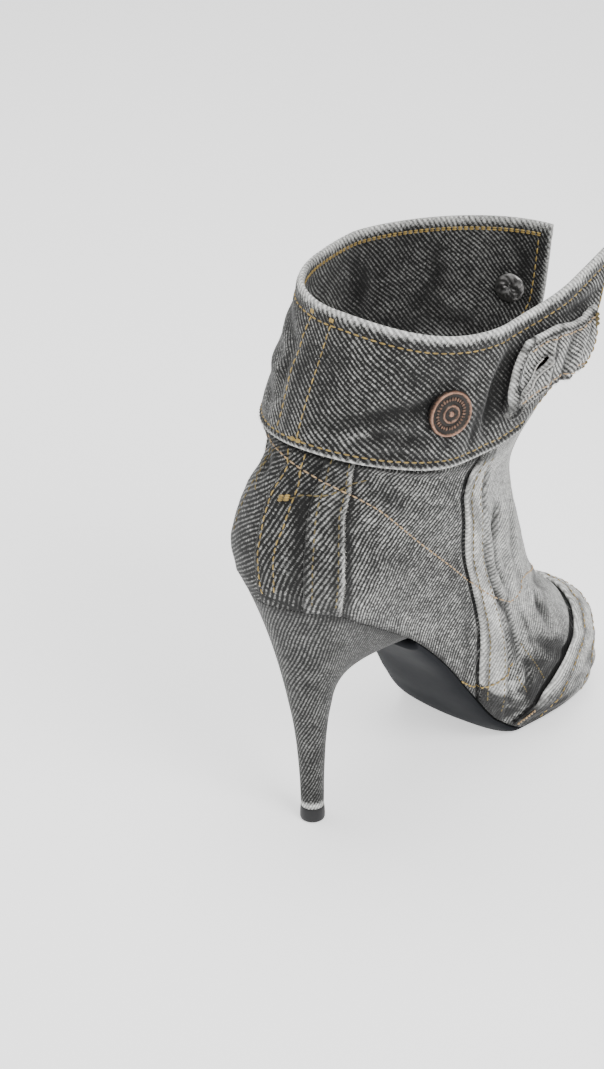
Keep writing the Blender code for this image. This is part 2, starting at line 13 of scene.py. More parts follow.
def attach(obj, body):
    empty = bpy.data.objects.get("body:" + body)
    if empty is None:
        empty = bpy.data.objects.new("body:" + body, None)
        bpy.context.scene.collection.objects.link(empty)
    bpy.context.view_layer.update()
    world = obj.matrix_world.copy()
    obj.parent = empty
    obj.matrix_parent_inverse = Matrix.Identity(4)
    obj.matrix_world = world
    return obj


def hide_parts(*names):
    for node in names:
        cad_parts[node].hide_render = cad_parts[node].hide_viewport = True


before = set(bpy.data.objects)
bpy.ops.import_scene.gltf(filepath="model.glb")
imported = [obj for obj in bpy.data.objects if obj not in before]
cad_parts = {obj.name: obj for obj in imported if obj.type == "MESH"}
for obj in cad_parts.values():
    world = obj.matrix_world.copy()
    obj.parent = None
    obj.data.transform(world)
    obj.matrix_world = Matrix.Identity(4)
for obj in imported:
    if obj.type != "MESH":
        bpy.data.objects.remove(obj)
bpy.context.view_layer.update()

MM = 0.001

# Driving sizes
FOOT_LENGTH = 200.0 * MM     # heel end to toe tip of the sole line
HEEL_SETBACK = 27.0 * MM     # how far the heel end lies behind the heel tip
SEAT_HEIGHT = 107.0 * MM     # sole line at the heel end
SHAFT_RISE = 59.0 * MM       # sole line to the cuff's lower edge at the back
THROAT_HEIGHT = 135.0 * MM   # ground to the front of the ankle
BALL_WIDTH = 78.0 * MM       # width of the upper over the ball
SOLE_WIDTH = 0.82 * BALL_WIDTH   # the sole is drawn in under the upper
WALL = 2.0 * MM              # upper, lining and fabric together
CUFF_TUCK = 1.7 * MM         # the shaft steps in where the cuff laps over it
BAND_TUCK = 0.5 * MM         # and under the hem of the toe opening
CUFF_WALL = 2.8 * MM         # folded waistband
STRIP_WALL = 0.9 * MM        # felled seams laid on the upper
BAND_WALL = 1.2 * MM         # hem around the toe opening
INSOLE_WALL = 1.8 * MM
GAP = 0.3 * MM               # clearance between curved pieces
LAID = 0.6 * MM              # clearance under overlays on the facets of the upper
TIP_HEIGHT = 6.0 * MM        # rubber top piece of the heel
TAB_WALL = 2.6 * MM
TAB_BULGE = 2.0 * MM         # how far the middle of the strap stands off its edges
BUTTON_RADIUS = 8.8 * MM
BUTTON_HEIGHT = 3.2 * MM
UNDER_RADIUS = 7.7 * MM      # flat button under the strap
UNDER_HEIGHT = 1.5 * MM
TACK_RADIUS = 4.8 * MM
TACK_HEIGHT = 1.6 * MM
TACK_SINK = 0.9 * MM         # how far the flat tack stands off the curved cuff

# Sole line at stations from the heel end: fore as a share of FOOT_LENGTH, up of SEAT_HEIGHT,
# half widths of SOLE_WIDTH.
SOLE_LINE = dict(
    fore=(0.0, 0.06, 0.13, 0.23, 0.3, 0.4, 0.5, 0.58, 0.64, 0.74, 0.83, 0.92, 1.0),
    up=(1.0, 0.975, 0.895, 0.775, 0.68, 0.5, 0.27, 0.1, 0.034, 0.034, 0.034, 0.048, 0.088),
    lateral=(0.3, 0.33, 0.36, 0.37, 0.36, 0.36, 0.37, 0.39, 0.42, 0.46, 0.47, 0.45, 0.42),
    medial=(0.3, 0.33, 0.35, 0.35, 0.29, 0.26, 0.36, 0.44, 0.5, 0.51, 0.48, 0.44, 0.42),
)

# Nine rings of the outer surface: feather, bulge, vamp, waist, instep, ankle, then the foot,
# the middle and the top of the cuff.
# back and front: fore as a share of FOOT_LENGTH; back_up of SHAFT_RISE over the seat;
# front_up of THROAT_HEIGHT; widths of BALL_WIDTH at heel, waist and ball;
# caps are the shares of a ring's length taken by its rounded ends; open is how wide
# each side still stands at its front end (1 straight on, 0 closed, under 0 across);
# sag follows the arch; drift shifts sideways; dip hollows the edge between its ends.
RINGS = dict(
    back=(-0.012, -0.016, -0.004, 0.018, 0.045, 0.06, 0.07, 0.122, 0.175),
    back_up=(0.13, 0.33, 0.52, 0.7, 0.85, 0.93, 1.0, 1.37, 1.75),
    front=(0.995, 0.97, 0.88, 0.785, 0.722, 0.66, 0.6, 0.672, 0.678),
    front_up=(0.14, 0.225, 0.325, 0.45, 0.64, 0.86, 1.21, 1.4, 1.61),
    lat_heel=(0.34, 0.38, 0.39, 0.385, 0.375, 0.37, 0.37, 0.385, 0.42),
    lat_waist=(0.33, 0.38, 0.41, 0.42, 0.42, 0.42, 0.44, 0.46, 0.5),
    lat_ball=(0.455, 0.47, 0.43, 0.4, 0.38, 0.39, 0.48, 0.545, 0.55),
    med_heel=(0.35, 0.395, 0.39, 0.375, 0.365, 0.365, 0.41, 0.42, 0.4),
    med_waist=(0.29, 0.34, 0.37, 0.38, 0.38, 0.39, 0.45, 0.44, 0.43),
    med_ball=(0.46, 0.46, 0.41, 0.38, 0.36, 0.37, 0.44, 0.43, 0.42),
    lat_cap=(0.18, 0.2, 0.23, 0.28, 0.33, 0.38, 0.38, 0.34, 0.3),
    med_cap=(0.16, 0.18, 0.21, 0.25, 0.3, 0.34, 0.34, 0.3, 0.3),
    front_cap=(0.3, 0.34, 0.42, 0.47, 0.48, 0.48, 0.5, 0.5, 0.5),
    lat_open=(0.0, 0.0, 0.0, 0.0, 0.0, 0.0, 0.92, 0.97, 1.0),
    med_open=(0.0, 0.0, 0.0, 0.0, 0.0, 0.0, -0.3, -0.52, -0.56),
    sag=(0.92, 0.6, 0.25, 0.08, 0.0, 0.0, 0.0, 0.0, 0.0),
    drift=(0.0, 0.0, 0.0, 0.0, 0.02, 0.035, 0.05, 0.065, 0.077),
    lat_dip=(0.0, 0.0, 0.0, 0.0, 0.0, 0.0, 0.085, 0.08, 0.078),
    med_dip=(0.0, 0.0, 0.0, 0.0, 0.0, 0.0, -0.015, -0.018, -0.02),
    dip_at=(1.0, 1.0, 1.0, 1.0, 1.0, 1.0, 1.0, 0.8, 0.8),
)
CUFF_LOW = 7.0       # ring numbers, counted from 1
CUFF_TOP = 9.0
CUFF_END = (0.66, 0.88, 1.0)   # q of the front end at the foot, middle and top of the cuff
SLIT_RING = 6.05     # foot of the front slit
BACK_POWER = 2.3
FRONT_POWER = 2.0
FLAP_POWER = 1.4
SOLE_BACK_CAP = 0.13
SOLE_FRONT_CAP = 0.24
HEEL_KNOT = 0.12     # where along a ring the heel width ends and the ball width starts
BALL_KNOT = 0.76

# Heel stem: heights as shares of SEAT_HEIGHT, sizes as shares of SOLE_WIDTH.
STEM = dict(
    up=(0.055, 0.15, 0.3, 0.42, 0.52),
    back=(-0.072, -0.08, -0.102, -0.13, -0.165),
    front=(0.07, 0.07, 0.075, 0.088, 0.115),
    half=(0.07, 0.072, 0.084, 0.104, 0.132),
)
BREAST_SHARE = 0.30      # heel breast along the sole line
BALL_SHARE = 0.74        # middle of the tread along the sole line
SEAT_STEP = 0.006        # from the breast to the start of the sole
TIP_SHARE = 0.077        # radius of the top piece, of SOLE_WIDTH
FLARE_LIFT = 0.55        # how long the stem goes straight up into the flare
BREAST_START = 0.74      # the flare narrows to the breast over this share of a turn
BREAST_CAP = 0.27
BREAST_POWER = 2.6
SEAT_LOOPS = (0.97, 0.8, 0.5, 0.2)   # loops of the seat inside its rim

# Where the fittings sit: ring number and q of their middles.
SIDE_BUTTON = dict(ring=7.92, q=0.350)
STRAP_BUTTON = dict(ring=8.06, q=0.600)
FLAP_BUTTON = dict(ring=8.07, q=-0.902)

PEEP = dict(ring=2.15, reach=0.215)       # edge of the toe opening: top ring and half reach in q
BAND_SEAM = dict(ring=2.98, reach=0.425)  # far edge of the hem
HEM_SWEEP = 0.99         # share of the quarter turns down to the sole that the hem covers
BAND_SWEEP = 0.975       # and that its sewn rows cover
HEM_PUFF = 0.6           # millimetres that a full fold of the hem stands up
REBATE = dict(ring=3.20, reach=0.470)     # the upper steps in a little wider than the hem


def place(fore, lateral, up):
    """World point of a point given forward, to the little-toe side and up."""
    return np.stack(np.broadcast_arrays(-lateral, -fore, up), -1)


def through(knots, values, at):
    """Smooth curve through a table column without overshoot."""
    knots = np.asarray(knots, float)
    values = np.asarray(values, float)
    at = np.clip(np.asarray(at, float), knots[0], knots[-1])
    step = np.diff(knots)
    rate = np.diff(values) / step
    slope = np.zeros(len(knots))
    both = rate[1:] * rate[:-1] > 0
    mean = 2 * rate[1:] * rate[:-1] / np.where(both, rate[1:] + rate[:-1], 1.0)
    slope[1:-1] = np.where(both, mean, 0.0)
    slope[0], slope[-1] = rate[0], rate[-1]
    i = np.clip(np.searchsorted(knots, at, side="right") - 1, 0, len(knots) - 2)
    h = step[i]
    t = (at - knots[i]) / h
    rise = t * t * (3 - 2 * t)
    return (values[i] * (1 - rise) + values[i + 1] * rise
            + h * slope[i] * t * (1 - t) ** 2 - h * slope[i + 1] * t * t * (1 - t))


def ease(t):
    t = np.clip(t, 0.0, 1.0)
    return t * t * (3 - 2 * t)


def sole_line(column, share):
    return through(SOLE_LINE["fore"], SOLE_LINE[column], share)


def ring_value(column, ring):
    return through(np.arange(1, len(RINGS[column]) + 1), RINGS[column], ring)


def rounded(share, cap, power):
    return np.sqrt(np.clip(1 - np.clip(share / cap, 0, 1) ** power, 0, 1))


def sole_edge(q):
    """Sole line at q: -1 and 1 the toe tip, 0 the heel end, above 0 the little-toe side."""
    x = (1 - np.cos(np.pi * q)) / 2
    half = np.where(q >= 0, sole_line("lateral", x), -sole_line("medial", x)) * SOLE_WIDTH
    half = half * rounded(SOLE_BACK_CAP - x, SOLE_BACK_CAP, BACK_POWER)
    half = half * rounded(x - 1 + SOLE_FRONT_CAP, SOLE_FRONT_CAP, FRONT_POWER)
    return x * FOOT_LENGTH - HEEL_SETBACK, half, sole_line("up", x) * SEAT_HEIGHT


def surface(ring, q):
    """Outer surface as (fore, lateral, up); ring 0 is the sole line."""
    ring, q = np.broadcast_arrays(np.asarray(ring, float), np.asarray(q, float))
    x = (1 - np.cos(np.pi * q)) / 2
    outer = q >= 0

    def value(column):
        return ring_value(column, np.maximum(ring, 1.0))

    def side(column):
        return np.where(outer, value("lat_" + column), value("med_" + column))

    back = value("back") * FOOT_LENGTH - HEEL_SETBACK
    front = value("front") * FOOT_LENGTH - HEEL_SETBACK
    back_up = SEAT_HEIGHT + value("back_up") * SHAFT_RISE
    front_up = value("front_up") * THROAT_HEIGHT
    toe_up = sole_line("up", 1.0)
    arch = (sole_line("up", x) - 1 - (toe_up - 1) * x) * SEAT_HEIGHT
    dip = side("dip") * THROAT_HEIGHT * np.sin(np.pi * x ** value("dip_at"))
    fore = back + (front - back) * x
    up = back_up + (front_up - back_up) * x + value("sag") * arch - dip
    t = (x - HEEL_KNOT) / (BALL_KNOT - HEEL_KNOT)
    half = side("heel") + (side("waist") - side("heel")) * ease(2 * t)
    half = half + (side("ball") - side("waist")) * ease(2 * t - 1)
    opening = side("open")
    power = FRONT_POWER + (FLAP_POWER - FRONT_POWER) * ease(np.abs(value("med_open")) * 2)
    cap = value("front_cap")
    nose = opening + (1 - opening) * rounded(x - 1 + cap, cap, power)
    half = half * rounded(side("cap") - x, side("cap"), BACK_POWER) * nose
    lateral = (np.where(outer, half, -half) + value("drift")) * BALL_WIDTH
    shell = np.stack([fore, lateral, up], -1)
    sole = np.stack(np.broadcast_arrays(*sole_edge(q)), -1)
    k = np.clip(ring, 0, 1)[..., None]
    return sole + (shell - sole) * k


def normal(ring, q):
    """Outward direction of the surface; level with the ground along the sole line."""
    ring, q = np.broadcast_arrays(np.asarray(ring, float), np.asarray(q, float))
    dr, dq = 0.05, 0.004
    along = surface(np.minimum(ring + dr, CUFF_TOP), q) - surface(np.maximum(ring - dr, 0), q)
    q0 = np.where(q >= 0, np.clip(q - dq, 0, 1), np.clip(q - dq, -1, 0))
    q1 = np.where(q >= 0, np.clip(q + dq, 0, 1), np.clip(q + dq, -1, -1e-9))
    around = surface(ring, q1) - surface(ring, q0)
    n = np.cross(along, around)
    n = n / np.linalg.norm(n, axis=-1, keepdims=True)
    flat = ease(ring / 0.8)
    n[..., 2] = n[..., 2] * flat
    return n / np.linalg.norm(n, axis=-1, keepdims=True)


def lifted(ring, q, height):
    """World point lifted off the outer surface."""
    p = surface(ring, q) + normal(ring, q) * np.asarray(height)[..., None]
    return place(p[..., 0], p[..., 1], p[..., 2])


def edge_ring(q, edge):
    """Ring number of a rounded edge about the toe tip, 0 outside its reach."""
    d = (1 - np.abs(q)) / edge["reach"]
    return edge["ring"] * np.sqrt(np.clip(1 - d * d, 0, 1))


def top_ring(q):
    """Upper edge of the shaft: hidden in the cuff, slit down at the front."""
    d = 1 - np.abs(q)
    outer = q > 0
    level = CUFF_LOW + 0.3 + np.where(outer, 0.55 * ease((q - 0.55) / 0.2), 0.0)
    return SLIT_RING + (level - SLIT_RING) * ease(d / np.where(outer, 0.16, 0.22)) ** 0.6


def steepness(share):
    """Length of the sole line per length on the ground."""
    step = 0.01
    rise = (sole_line("up", share + step) - sole_line("up", share - step)) * SEAT_HEIGHT
    run = (np.clip(share + step, 0, 1) - np.clip(share - step, 0, 1)) * FOOT_LENGTH
    return np.sqrt(1 + (rise / run) ** 2)


def cuff_front(ring):
    """Front end of the cuff on the little-toe side, in q."""
    return through([CUFF_LOW, (CUFF_LOW + CUFF_TOP) / 2, CUFF_TOP], CUFF_END, ring)


# Felled seams: q of the near edge at the sole, the waist, the ankle and the cuff,
# and the width in q at the sole and at the cuff.
STRIPS = [
    dict(name="lateral_strip", q=(0.108, 0.106, 0.104, 0.100), foot=0.083, head=0.085),
    dict(name="medial_strip", q=(-0.345, -0.290, -0.230, -0.200), foot=-0.070, head=-0.085),
    dict(name="lateral_quarter_seam", q=(0.505, 0.487, 0.488, 0.570), foot=0.050, head=0.055),
    dict(name="medial_quarter_seam", q=(-0.505, -0.490, -0.490, -0.560), foot=-0.050, head=-0.055),
]
STRIP_RINGS = (0.0, 3.0, 5.5, 7.0)
STRIP_LOW = 0.10
STRIP_HIGH = 6.92


# Adjuster strap by share of its length from the sewn front end: q, ring and height of
# the outer face in millimetres along the upper edge and the lower edge.
STRAP = dict(
    along=(0.0, 0.35, 0.6, 0.8, 1.0),
    top_q=(0.79, 0.69, 0.605, 0.54, 0.487),
    top_ring=(8.46, 8.51, 8.68, 8.74, 8.7),
    top_up=(6.6, 6.9, 7.6, 8.0, 7.4),
    low_q=(0.76, 0.685, 0.635, 0.59, 0.55),
    low_ring=(7.68, 7.76, 7.78, 7.68, 7.4),
    low_up=(8.0, 8.0, 8.2, 7.8, 6.8),
)
STRAP_END = 0.030        # how far the free end bows back, in q


def strap_place(along, up):
    """Ring, q and height of the strap's outer face; up runs 0 to 1 from its lower edge."""
    def value(column):
        low, top = (through(STRAP["along"], STRAP[edge + column], along)
                    for edge in ("low_", "top_"))
        return low + (top - low) * up

    bow = np.sin(np.pi * up)
    height = value("up") * MM + TAB_BULGE * bow
    return value("ring"), value("q") - STRAP_END * bow * along ** 2, height


# Looks

TWILL = 1.25                 # pitch of the twill lines on the cuff, in millimetres
COARSE_TWILL = 1.72          # the same on the upper
SIDE_TWILL = 1.5             # and on the medial panel behind the quarter seam
FINE_TWILL = 1.15            # and on the strap, the cuff's lining and the heel
CUFF_STEP = 24.0             # millimetres up the cuff per ring number
CUFF_FACE = 0.93 * CUFF_WALL   # plain height of the cuff's outer face over its inner one
LINING_RELIEF = 0.75         # share of the folds that the cuff's inner face follows
RIDGE = 0.35                 # height of a crease's raised sides, as a share of its depth
FAR = 99.0                   # stands for any distance out of reach
TURN = 2 * math.pi
SEED = 7
rng = np.random.default_rng(SEED)


def arc_table():
    """Level length around the shoe from the back, in millimetres, by ring and q."""
    rings = np.linspace(0, CUFF_TOP, 46)
    q = np.linspace(-1, 1, 401)
    p = surface(rings[:, None], q[None, :])
    step = np.hypot(np.diff(p[..., 0], axis=1), np.diff(p[..., 1], axis=1))
    length = np.concatenate([np.zeros((len(rings), 1)), np.cumsum(step, axis=1)], axis=1)
    return (length - length[:, 200:201]) / MM


ARC = arc_table()


def arc(ring, q):
    r = np.clip(ring, 0, CUFF_TOP) / CUFF_TOP * (ARC.shape[0] - 1.001)
    c = (np.clip(q, -1, 1) + 1) / 2 * (ARC.shape[1] - 1.001)
    i, j = r.astype(int), c.astype(int)
    u, v = r - i, c - j
    top = ARC[i, j] * (1 - v) + ARC[i, j + 1] * v
    low = ARC[i + 1, j] * (1 - v) + ARC[i + 1, j + 1] * v
    return top * (1 - u) + low * u


def cloth(ring, q, angle, pitch=TWILL):
    """Place in the twill, counted in pitches across the lines and along them."""
    ring, q = np.broadcast_arrays(ring, q)
    u = arc(ring, q)
    z = surface(ring, q)[..., 2] / MM
    return twill(u, z, angle, pitch)


def twill(u, z, angle, pitch):
    a = math.radians(angle)
    drift = 0.30 * np.sin(0.21 * z + 0.13 * u) + 0.16 * np.sin(0.37 * u - 0.17 * z + 1.0)
    across = (u * math.sin(a) - z * math.cos(a) + drift) / pitch
    along = (u * math.cos(a) + z * math.sin(a)) / pitch
    return np.stack([across, along, 0 * across], -1)


def bell(d):
    return np.exp(-d * d)


def route(points, count):
    """Evenly read smooth curve through pairs of numbers, as two rows of numbers."""
    points = np.asarray(points, float)
    t = np.linspace(0, len(points) - 1, count)
    return [through(np.arange(len(points)), column, t) for column in points.T]


def line_distance(places, points, reach):
    """Millimetres from a curve through (ring, q) points, FAR out of reach, and share along it."""
    rough = surface(*route(points, 12))
    length = np.linalg.norm(np.diff(rough, axis=0), axis=1).sum() / MM
    line = surface(*route(points, int(length / 0.7) + 3))
    low, high = line.min(0) - reach * MM, line.max(0) + reach * MM
    near = ((places > low) & (places < high)).all(-1)
    best = np.full(places.shape[:-1], FAR)
    share = np.zeros(places.shape[:-1])
    if near.any():
        d = np.linalg.norm(places[near][:, None] - line[None], axis=-1)
        best[near] = d.min(1) / MM
        share[near] = d.argmin(1) / (len(line) - 1)
    return best, share


def painted(ring, q, marks):
    """Share of light left by the dark marks, and how worn the pale ones make the cloth."""
    places = surface(ring, q)
    uneven = 1 + 0.22 * np.sin(places[..., 2] / MM * 0.9 + places[..., 1] / MM * 1.3)
    shade = np.ones(places.shape[:-1])
    pale = np.zeros(places.shape[:-1])
    for path, wide, dark in marks:
        d, share = line_distance(places, path, 2.6 * wide)
        taper = 0.55 + 0.45 * np.sin(np.pi * share)
        amount = bell(d / (wide * uneven)) * (taper if len(path) > 2 else 1.0)
        if dark > 0:
            shade = shade * (1 - dark * amount)
        else:
            pale = np.maximum(pale, -dark * amount)
    return shade, pale


def crease_field(places, creases):
    """Height in metres, and how much painted shade darkens the crease bottoms, from the listed
    creases.
    """
    height = np.zeros(places.shape[:-1])
    trough_shade = np.zeros(places.shape[:-1])
    for depth, width, dark, path in creases:
        best, share = line_distance(places, path, 4.2 * width)
        fade = np.sin(0.12 + share * (math.pi - 0.24)) ** 0.7
        sides = RIDGE * bell((best - 2.1 * width) / (0.9 * width))
        height += depth * MM * fade * (sides - bell(best / width))
        trough_shade = np.maximum(trough_shade, dark * fade * bell(best / (1.1 * width)))
    return height, trough_shade


# Creases: depth and width in millimetres, how dark the painted shade in the crease bottom is, and its
# path of (ring, q).
UPPER_CREASES = [
    (2.0, 1.6, 0.45, [(6.25, 0.597), (5.6, 0.56), (4.9, 0.545)]),
    (2.0, 1.8, 0.45, [(5.4, 0.62), (4.83, 0.593), (4.3, 0.585), (3.6, 0.598)]),
    (1.2, 1.0, 0.55, [(4.48, 0.553), (3.62, 0.548), (3.18, 0.552), (2.88, 0.56)]),
    (1.1, 1.0, 0.45, [(3.4, 0.59), (3.03, 0.566), (2.27, 0.56), (1.8, 0.562)]),
    (-1.3, 1.5, 0.0, [(5.48, 0.585), (4.8, 0.565), (4.28, 0.568), (3.62, 0.57), (3.2, 0.58)]),
    (-1.6, 2.2, 0.0, [(5.58, 0.65), (4.85, 0.63), (4.23, 0.643), (3.48, 0.62)]),
    (1.0, 2.2, 0.22, [(6.0, 0.76), (5.0, 0.7), (4.2, 0.68), (3.4, 0.66)]),
    (1.5, 2.2, 0.55, [(2.45, 0.6), (2.12, 0.63), (1.9, 0.68)]),
    (1.2, 1.1, 0.6, [(2.0, 0.575), (1.6, 0.582), (1.2, 0.585)]),
    (1.0, 2.2, 0.25, [(3.5, 0.7), (2.95, 0.66), (2.4, 0.65)]),
    (1.2, 2.6, 0.2, [(3.7, 0.93), (3.6, 0.8), (3.7, 0.7)]),
    (1.2, 2.6, 0.2, [(3.5, -0.95), (3.4, -0.8), (3.5, -0.66)]),
    (1.3, 1.9, 0.3, [(6.0, -0.72), (5.2, -0.64), (4.4, -0.61), (3.4, -0.6)]),
    (1.2, 1.6, 0.4, [(4.3, -0.66), (3.3, -0.62), (2.6, -0.6), (2.0, -0.61)]),
    (1.0, 2.0, 0.25, [(5.6, -0.86), (4.7, -0.76), (3.9, -0.7)]),
    (1.3, 2.0, 0.5, [(2.3, -0.64), (2.0, -0.7), (1.8, -0.76)]),
    (0.7, 2.6, 0.15, [(6.3, 0.24), (5.6, 0.3), (5.0, 0.38)]),
    (0.5, 3.0, 0.1, [(4.0, 0.22), (3.2, 0.3), (2.6, 0.36)]),
    (0.8, 1.8, 0.35, [(5.6, -0.12), (5.0, -0.08), (4.4, -0.07)]),
    (0.7, 1.8, 0.35, [(4.5, 0.045), (4.0, 0.07), (3.5, 0.09)]),
    (0.8, 2.6, 0.15, [(6.2, -0.4), (5.4, -0.42), (4.6, -0.45)]),
]
CUFF_CREASES = [
    (1.5, 2.6, 0.3, [(8.62, -0.27), (8.5, -0.17), (8.3, -0.09)]),
    (-1.5, 3.4, 0.0, [(7.95, -0.24), (7.85, -0.16), (7.95, -0.1)]),
    (0.9, 2.0, 0.25, [(7.55, -0.22), (7.5, -0.15), (7.62, -0.1)]),
    (-0.8, 1.5, 0.0, [(7.3, 0.1), (7.45, 0.17), (7.4, 0.25)]),
    (-0.6, 1.5, 0.0, [(7.7, 0.15), (7.85, 0.22), (8.0, 0.26)]),
    (1.5, 2.4, 0.62, [(7.45, 0.06), (7.72, 0.16), (7.95, 0.26), (8.15, 0.33)]),
    (2.4, 3.2, 0.75, [(8.65, 0.485), (8.15, 0.475), (7.7, 0.487), (7.2, 0.53)]),
    (1.1, 1.7, 0.6, [(8.05, 0.425), (7.6, 0.452), (7.2, 0.475)]),
    (0.8, 2.4, 0.25, [(8.35, -0.1), (7.8, -0.1), (7.3, -0.07)]),
    (1.4, 2.0, 0.5, [(7.4, 0.15), (7.58, 0.25), (7.46, 0.36)]),
    (0.9, 1.2, 0.4, [(7.25, 0.2), (7.3, 0.28), (7.24, 0.35)]),
    (1.0, 1.6, 0.4, [(7.85, 0.36), (7.6, 0.38), (7.35, 0.4)]),
    (1.0, 2.2, 0.4, [(8.75, 0.6), (8.55, 0.75), (8.45, 0.9)]),
    (0.7, 3.0, 0.1, [(8.5, 0.2), (8.3, 0.3), (8.35, 0.4)]),
    (1.0, 2.8, 0.3, [(8.2, -0.3), (7.8, -0.36), (7.4, -0.36)]),
    (1.3, 3.2, 0.4, [(8.6, -0.52), (8.0, -0.55), (7.4, -0.52)]),
    (1.2, 2.4, 0.4, [(7.9, -0.7), (7.6, -0.8), (7.45, -0.92)]),
]


def mesh_object(name, points, faces, layers=None):
    """Piece from numpy points and quads or triangles, with named point layers."""
    mesh = bpy.data.meshes.new(name)
    faces = np.asarray(faces, np.int32)
    corners = faces.shape[1]
    mesh.vertices.add(len(points))
    mesh.vertices.foreach_set("co", np.asarray(points, np.float32).ravel())
    mesh.loops.add(faces.size)
    mesh.loops.foreach_set("vertex_index", faces.ravel())
    mesh.polygons.add(len(faces))
    mesh.polygons.foreach_set("loop_start", np.arange(0, faces.size, corners, dtype=np.int32))
    mesh.update(calc_edges=True)
    mesh.polygons.foreach_set("use_smooth", np.ones(len(faces), bool))
    for key, data in (layers or {}).items():
        data = np.asarray(data, np.float32)
        kind = "FLOAT_VECTOR" if data.ndim == 2 else "FLOAT"
        layer = mesh.attributes.new(key, kind, "POINT")
        layer.data.foreach_set("vector" if data.ndim == 2 else "value", data.ravel())
    ob = bpy.data.objects.new(name, mesh)
    bpy.context.scene.collection.objects.link(ob)
    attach(ob, "root")
    return ob


def finish_piece(ob, material, slot, *nodes):
    ob.data.materials.append(material)
    if nodes:
        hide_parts(*nodes)
    return ob


def outward(points, faces):
    """The faces of a closed body, all turned about if they enclose less than nothing."""
    a, b, c = points[faces[:, 0]], points[faces[:, 1]], points[faces[:, 2]]
    total = np.einsum("ij,ij->i", a, np.cross(b, c)).sum()
    if faces.shape[1] == 4:
        total += np.einsum("ij,ij->i", a, np.cross(c, points[faces[:, 3]])).sum()
    return faces[:, ::-1] if total < 0 else faces


def full_turn(count, start=0.0):
    return np.linspace(start, start + TURN, count, endpoint=False)


def run_length(line):
    """Length run along a line of points, from 0 at its first."""
    return np.concatenate([[0], np.cumsum(np.linalg.norm(np.diff(line, axis=0), axis=1))])


def quads(rows, cols, wrap_rows=False, wrap_cols=False):
    i = np.arange(rows if wrap_rows else rows - 1)
    j = np.arange(cols if wrap_cols else cols - 1)
    i, j = np.meshgrid(i, j, indexing="ij")
    a = i * cols + j
    b = i * cols + (j + 1) % cols
    c = ((i + 1) % rows) * cols + (j + 1) % cols
    d = ((i + 1) % rows) * cols + j
    return np.stack([a.ravel(), b.ravel(), c.ravel(), d.ravel()], -1)


def pillow(name, ring, q, low, high, layers, soft, skip=None, rise=None, under=None):
    """Closed cloth body over a grid; low and high meet at the edges as round rims.

    soft is the share of full thickness at every grid place, 0 on the edge;
    under holds the layers that differ on the inner face.
    """
    rows, cols = ring.shape
    middle = (low + high) / 2
    half = (high - low) / 2 * soft
    outer = lifted(ring, q, middle + half).reshape(-1, 3)
    inner = lifted(ring, q, middle - half).reshape(-1, 3)
    if rise is not None:
        outer[:, 2] += rise.ravel()
        inner[:, 2] += rise.ravel()
    index = np.arange(rows * cols)
    edge = (soft.ravel() <= 1e-6)
    back = np.where(edge, index, index + rows * cols)
    face = quads(rows, cols)
    if skip is not None:
        face = face[~skip.ravel()]
    faces = np.concatenate([face, back[face[:, ::-1]]])
    points = np.concatenate([outer, inner])
    used, new = np.unique(faces, return_inverse=True)
    faces = new.reshape(faces.shape)
    points = points[used]
    both = {}
    for key, data in layers.items():
        flat = data.reshape(rows * cols, -1)
        back_flat = (under or {}).get(key, data).reshape(rows * cols, -1)
        both[key] = np.concatenate([flat, back_flat])[used].squeeze()
    return mesh_object(name, points, outward(points, faces), both)


def edged(count, rim):
    """Even places from 0 to 1 with a few close ones at each end, rim wide."""
    close = np.array([0.0, 0.06, 0.2, 0.45, 1.0]) * rim
    middle = np.linspace(rim, 1 - rim, count)[1:-1]
    return np.concatenate([close, middle, 1 - close[::-1]])


def rim_profile(k, rim):
    d = np.clip(np.minimum(k, 1 - k) / rim, 0, 1)
    return np.sqrt(np.clip(1 - (1 - d) ** 2, 0, 1))


# Materials

class Value:
    """Output of a shader node; sums, differences and products of values make further nodes."""

    def __init__(self, tree, socket):
        self.tree = tree
        self.socket = socket

    def maths(self, kind, *others, clamp=False):
        node = self.tree.nodes.new("ShaderNodeMath")
        node.operation = kind
        node.use_clamp = clamp
        for socket, source in zip(node.inputs, (self, *others)):
            feed(socket, source)
        return Value(self.tree, node.outputs[0])

    def __add__(self, other):
        return self.maths("ADD", other)

    def __sub__(self, other):
        return self.maths("SUBTRACT", other)

    def __mul__(self, other):
        return self.maths("MULTIPLY", other)

    def limited(self):
        """The value kept between 0 and 1."""
        return self.maths("ADD", 0.0, clamp=True)


def feed(socket, source):
    if isinstance(source, Value):
        source.tree.links.new(source.socket, socket)
    else:
        socket.default_value = source


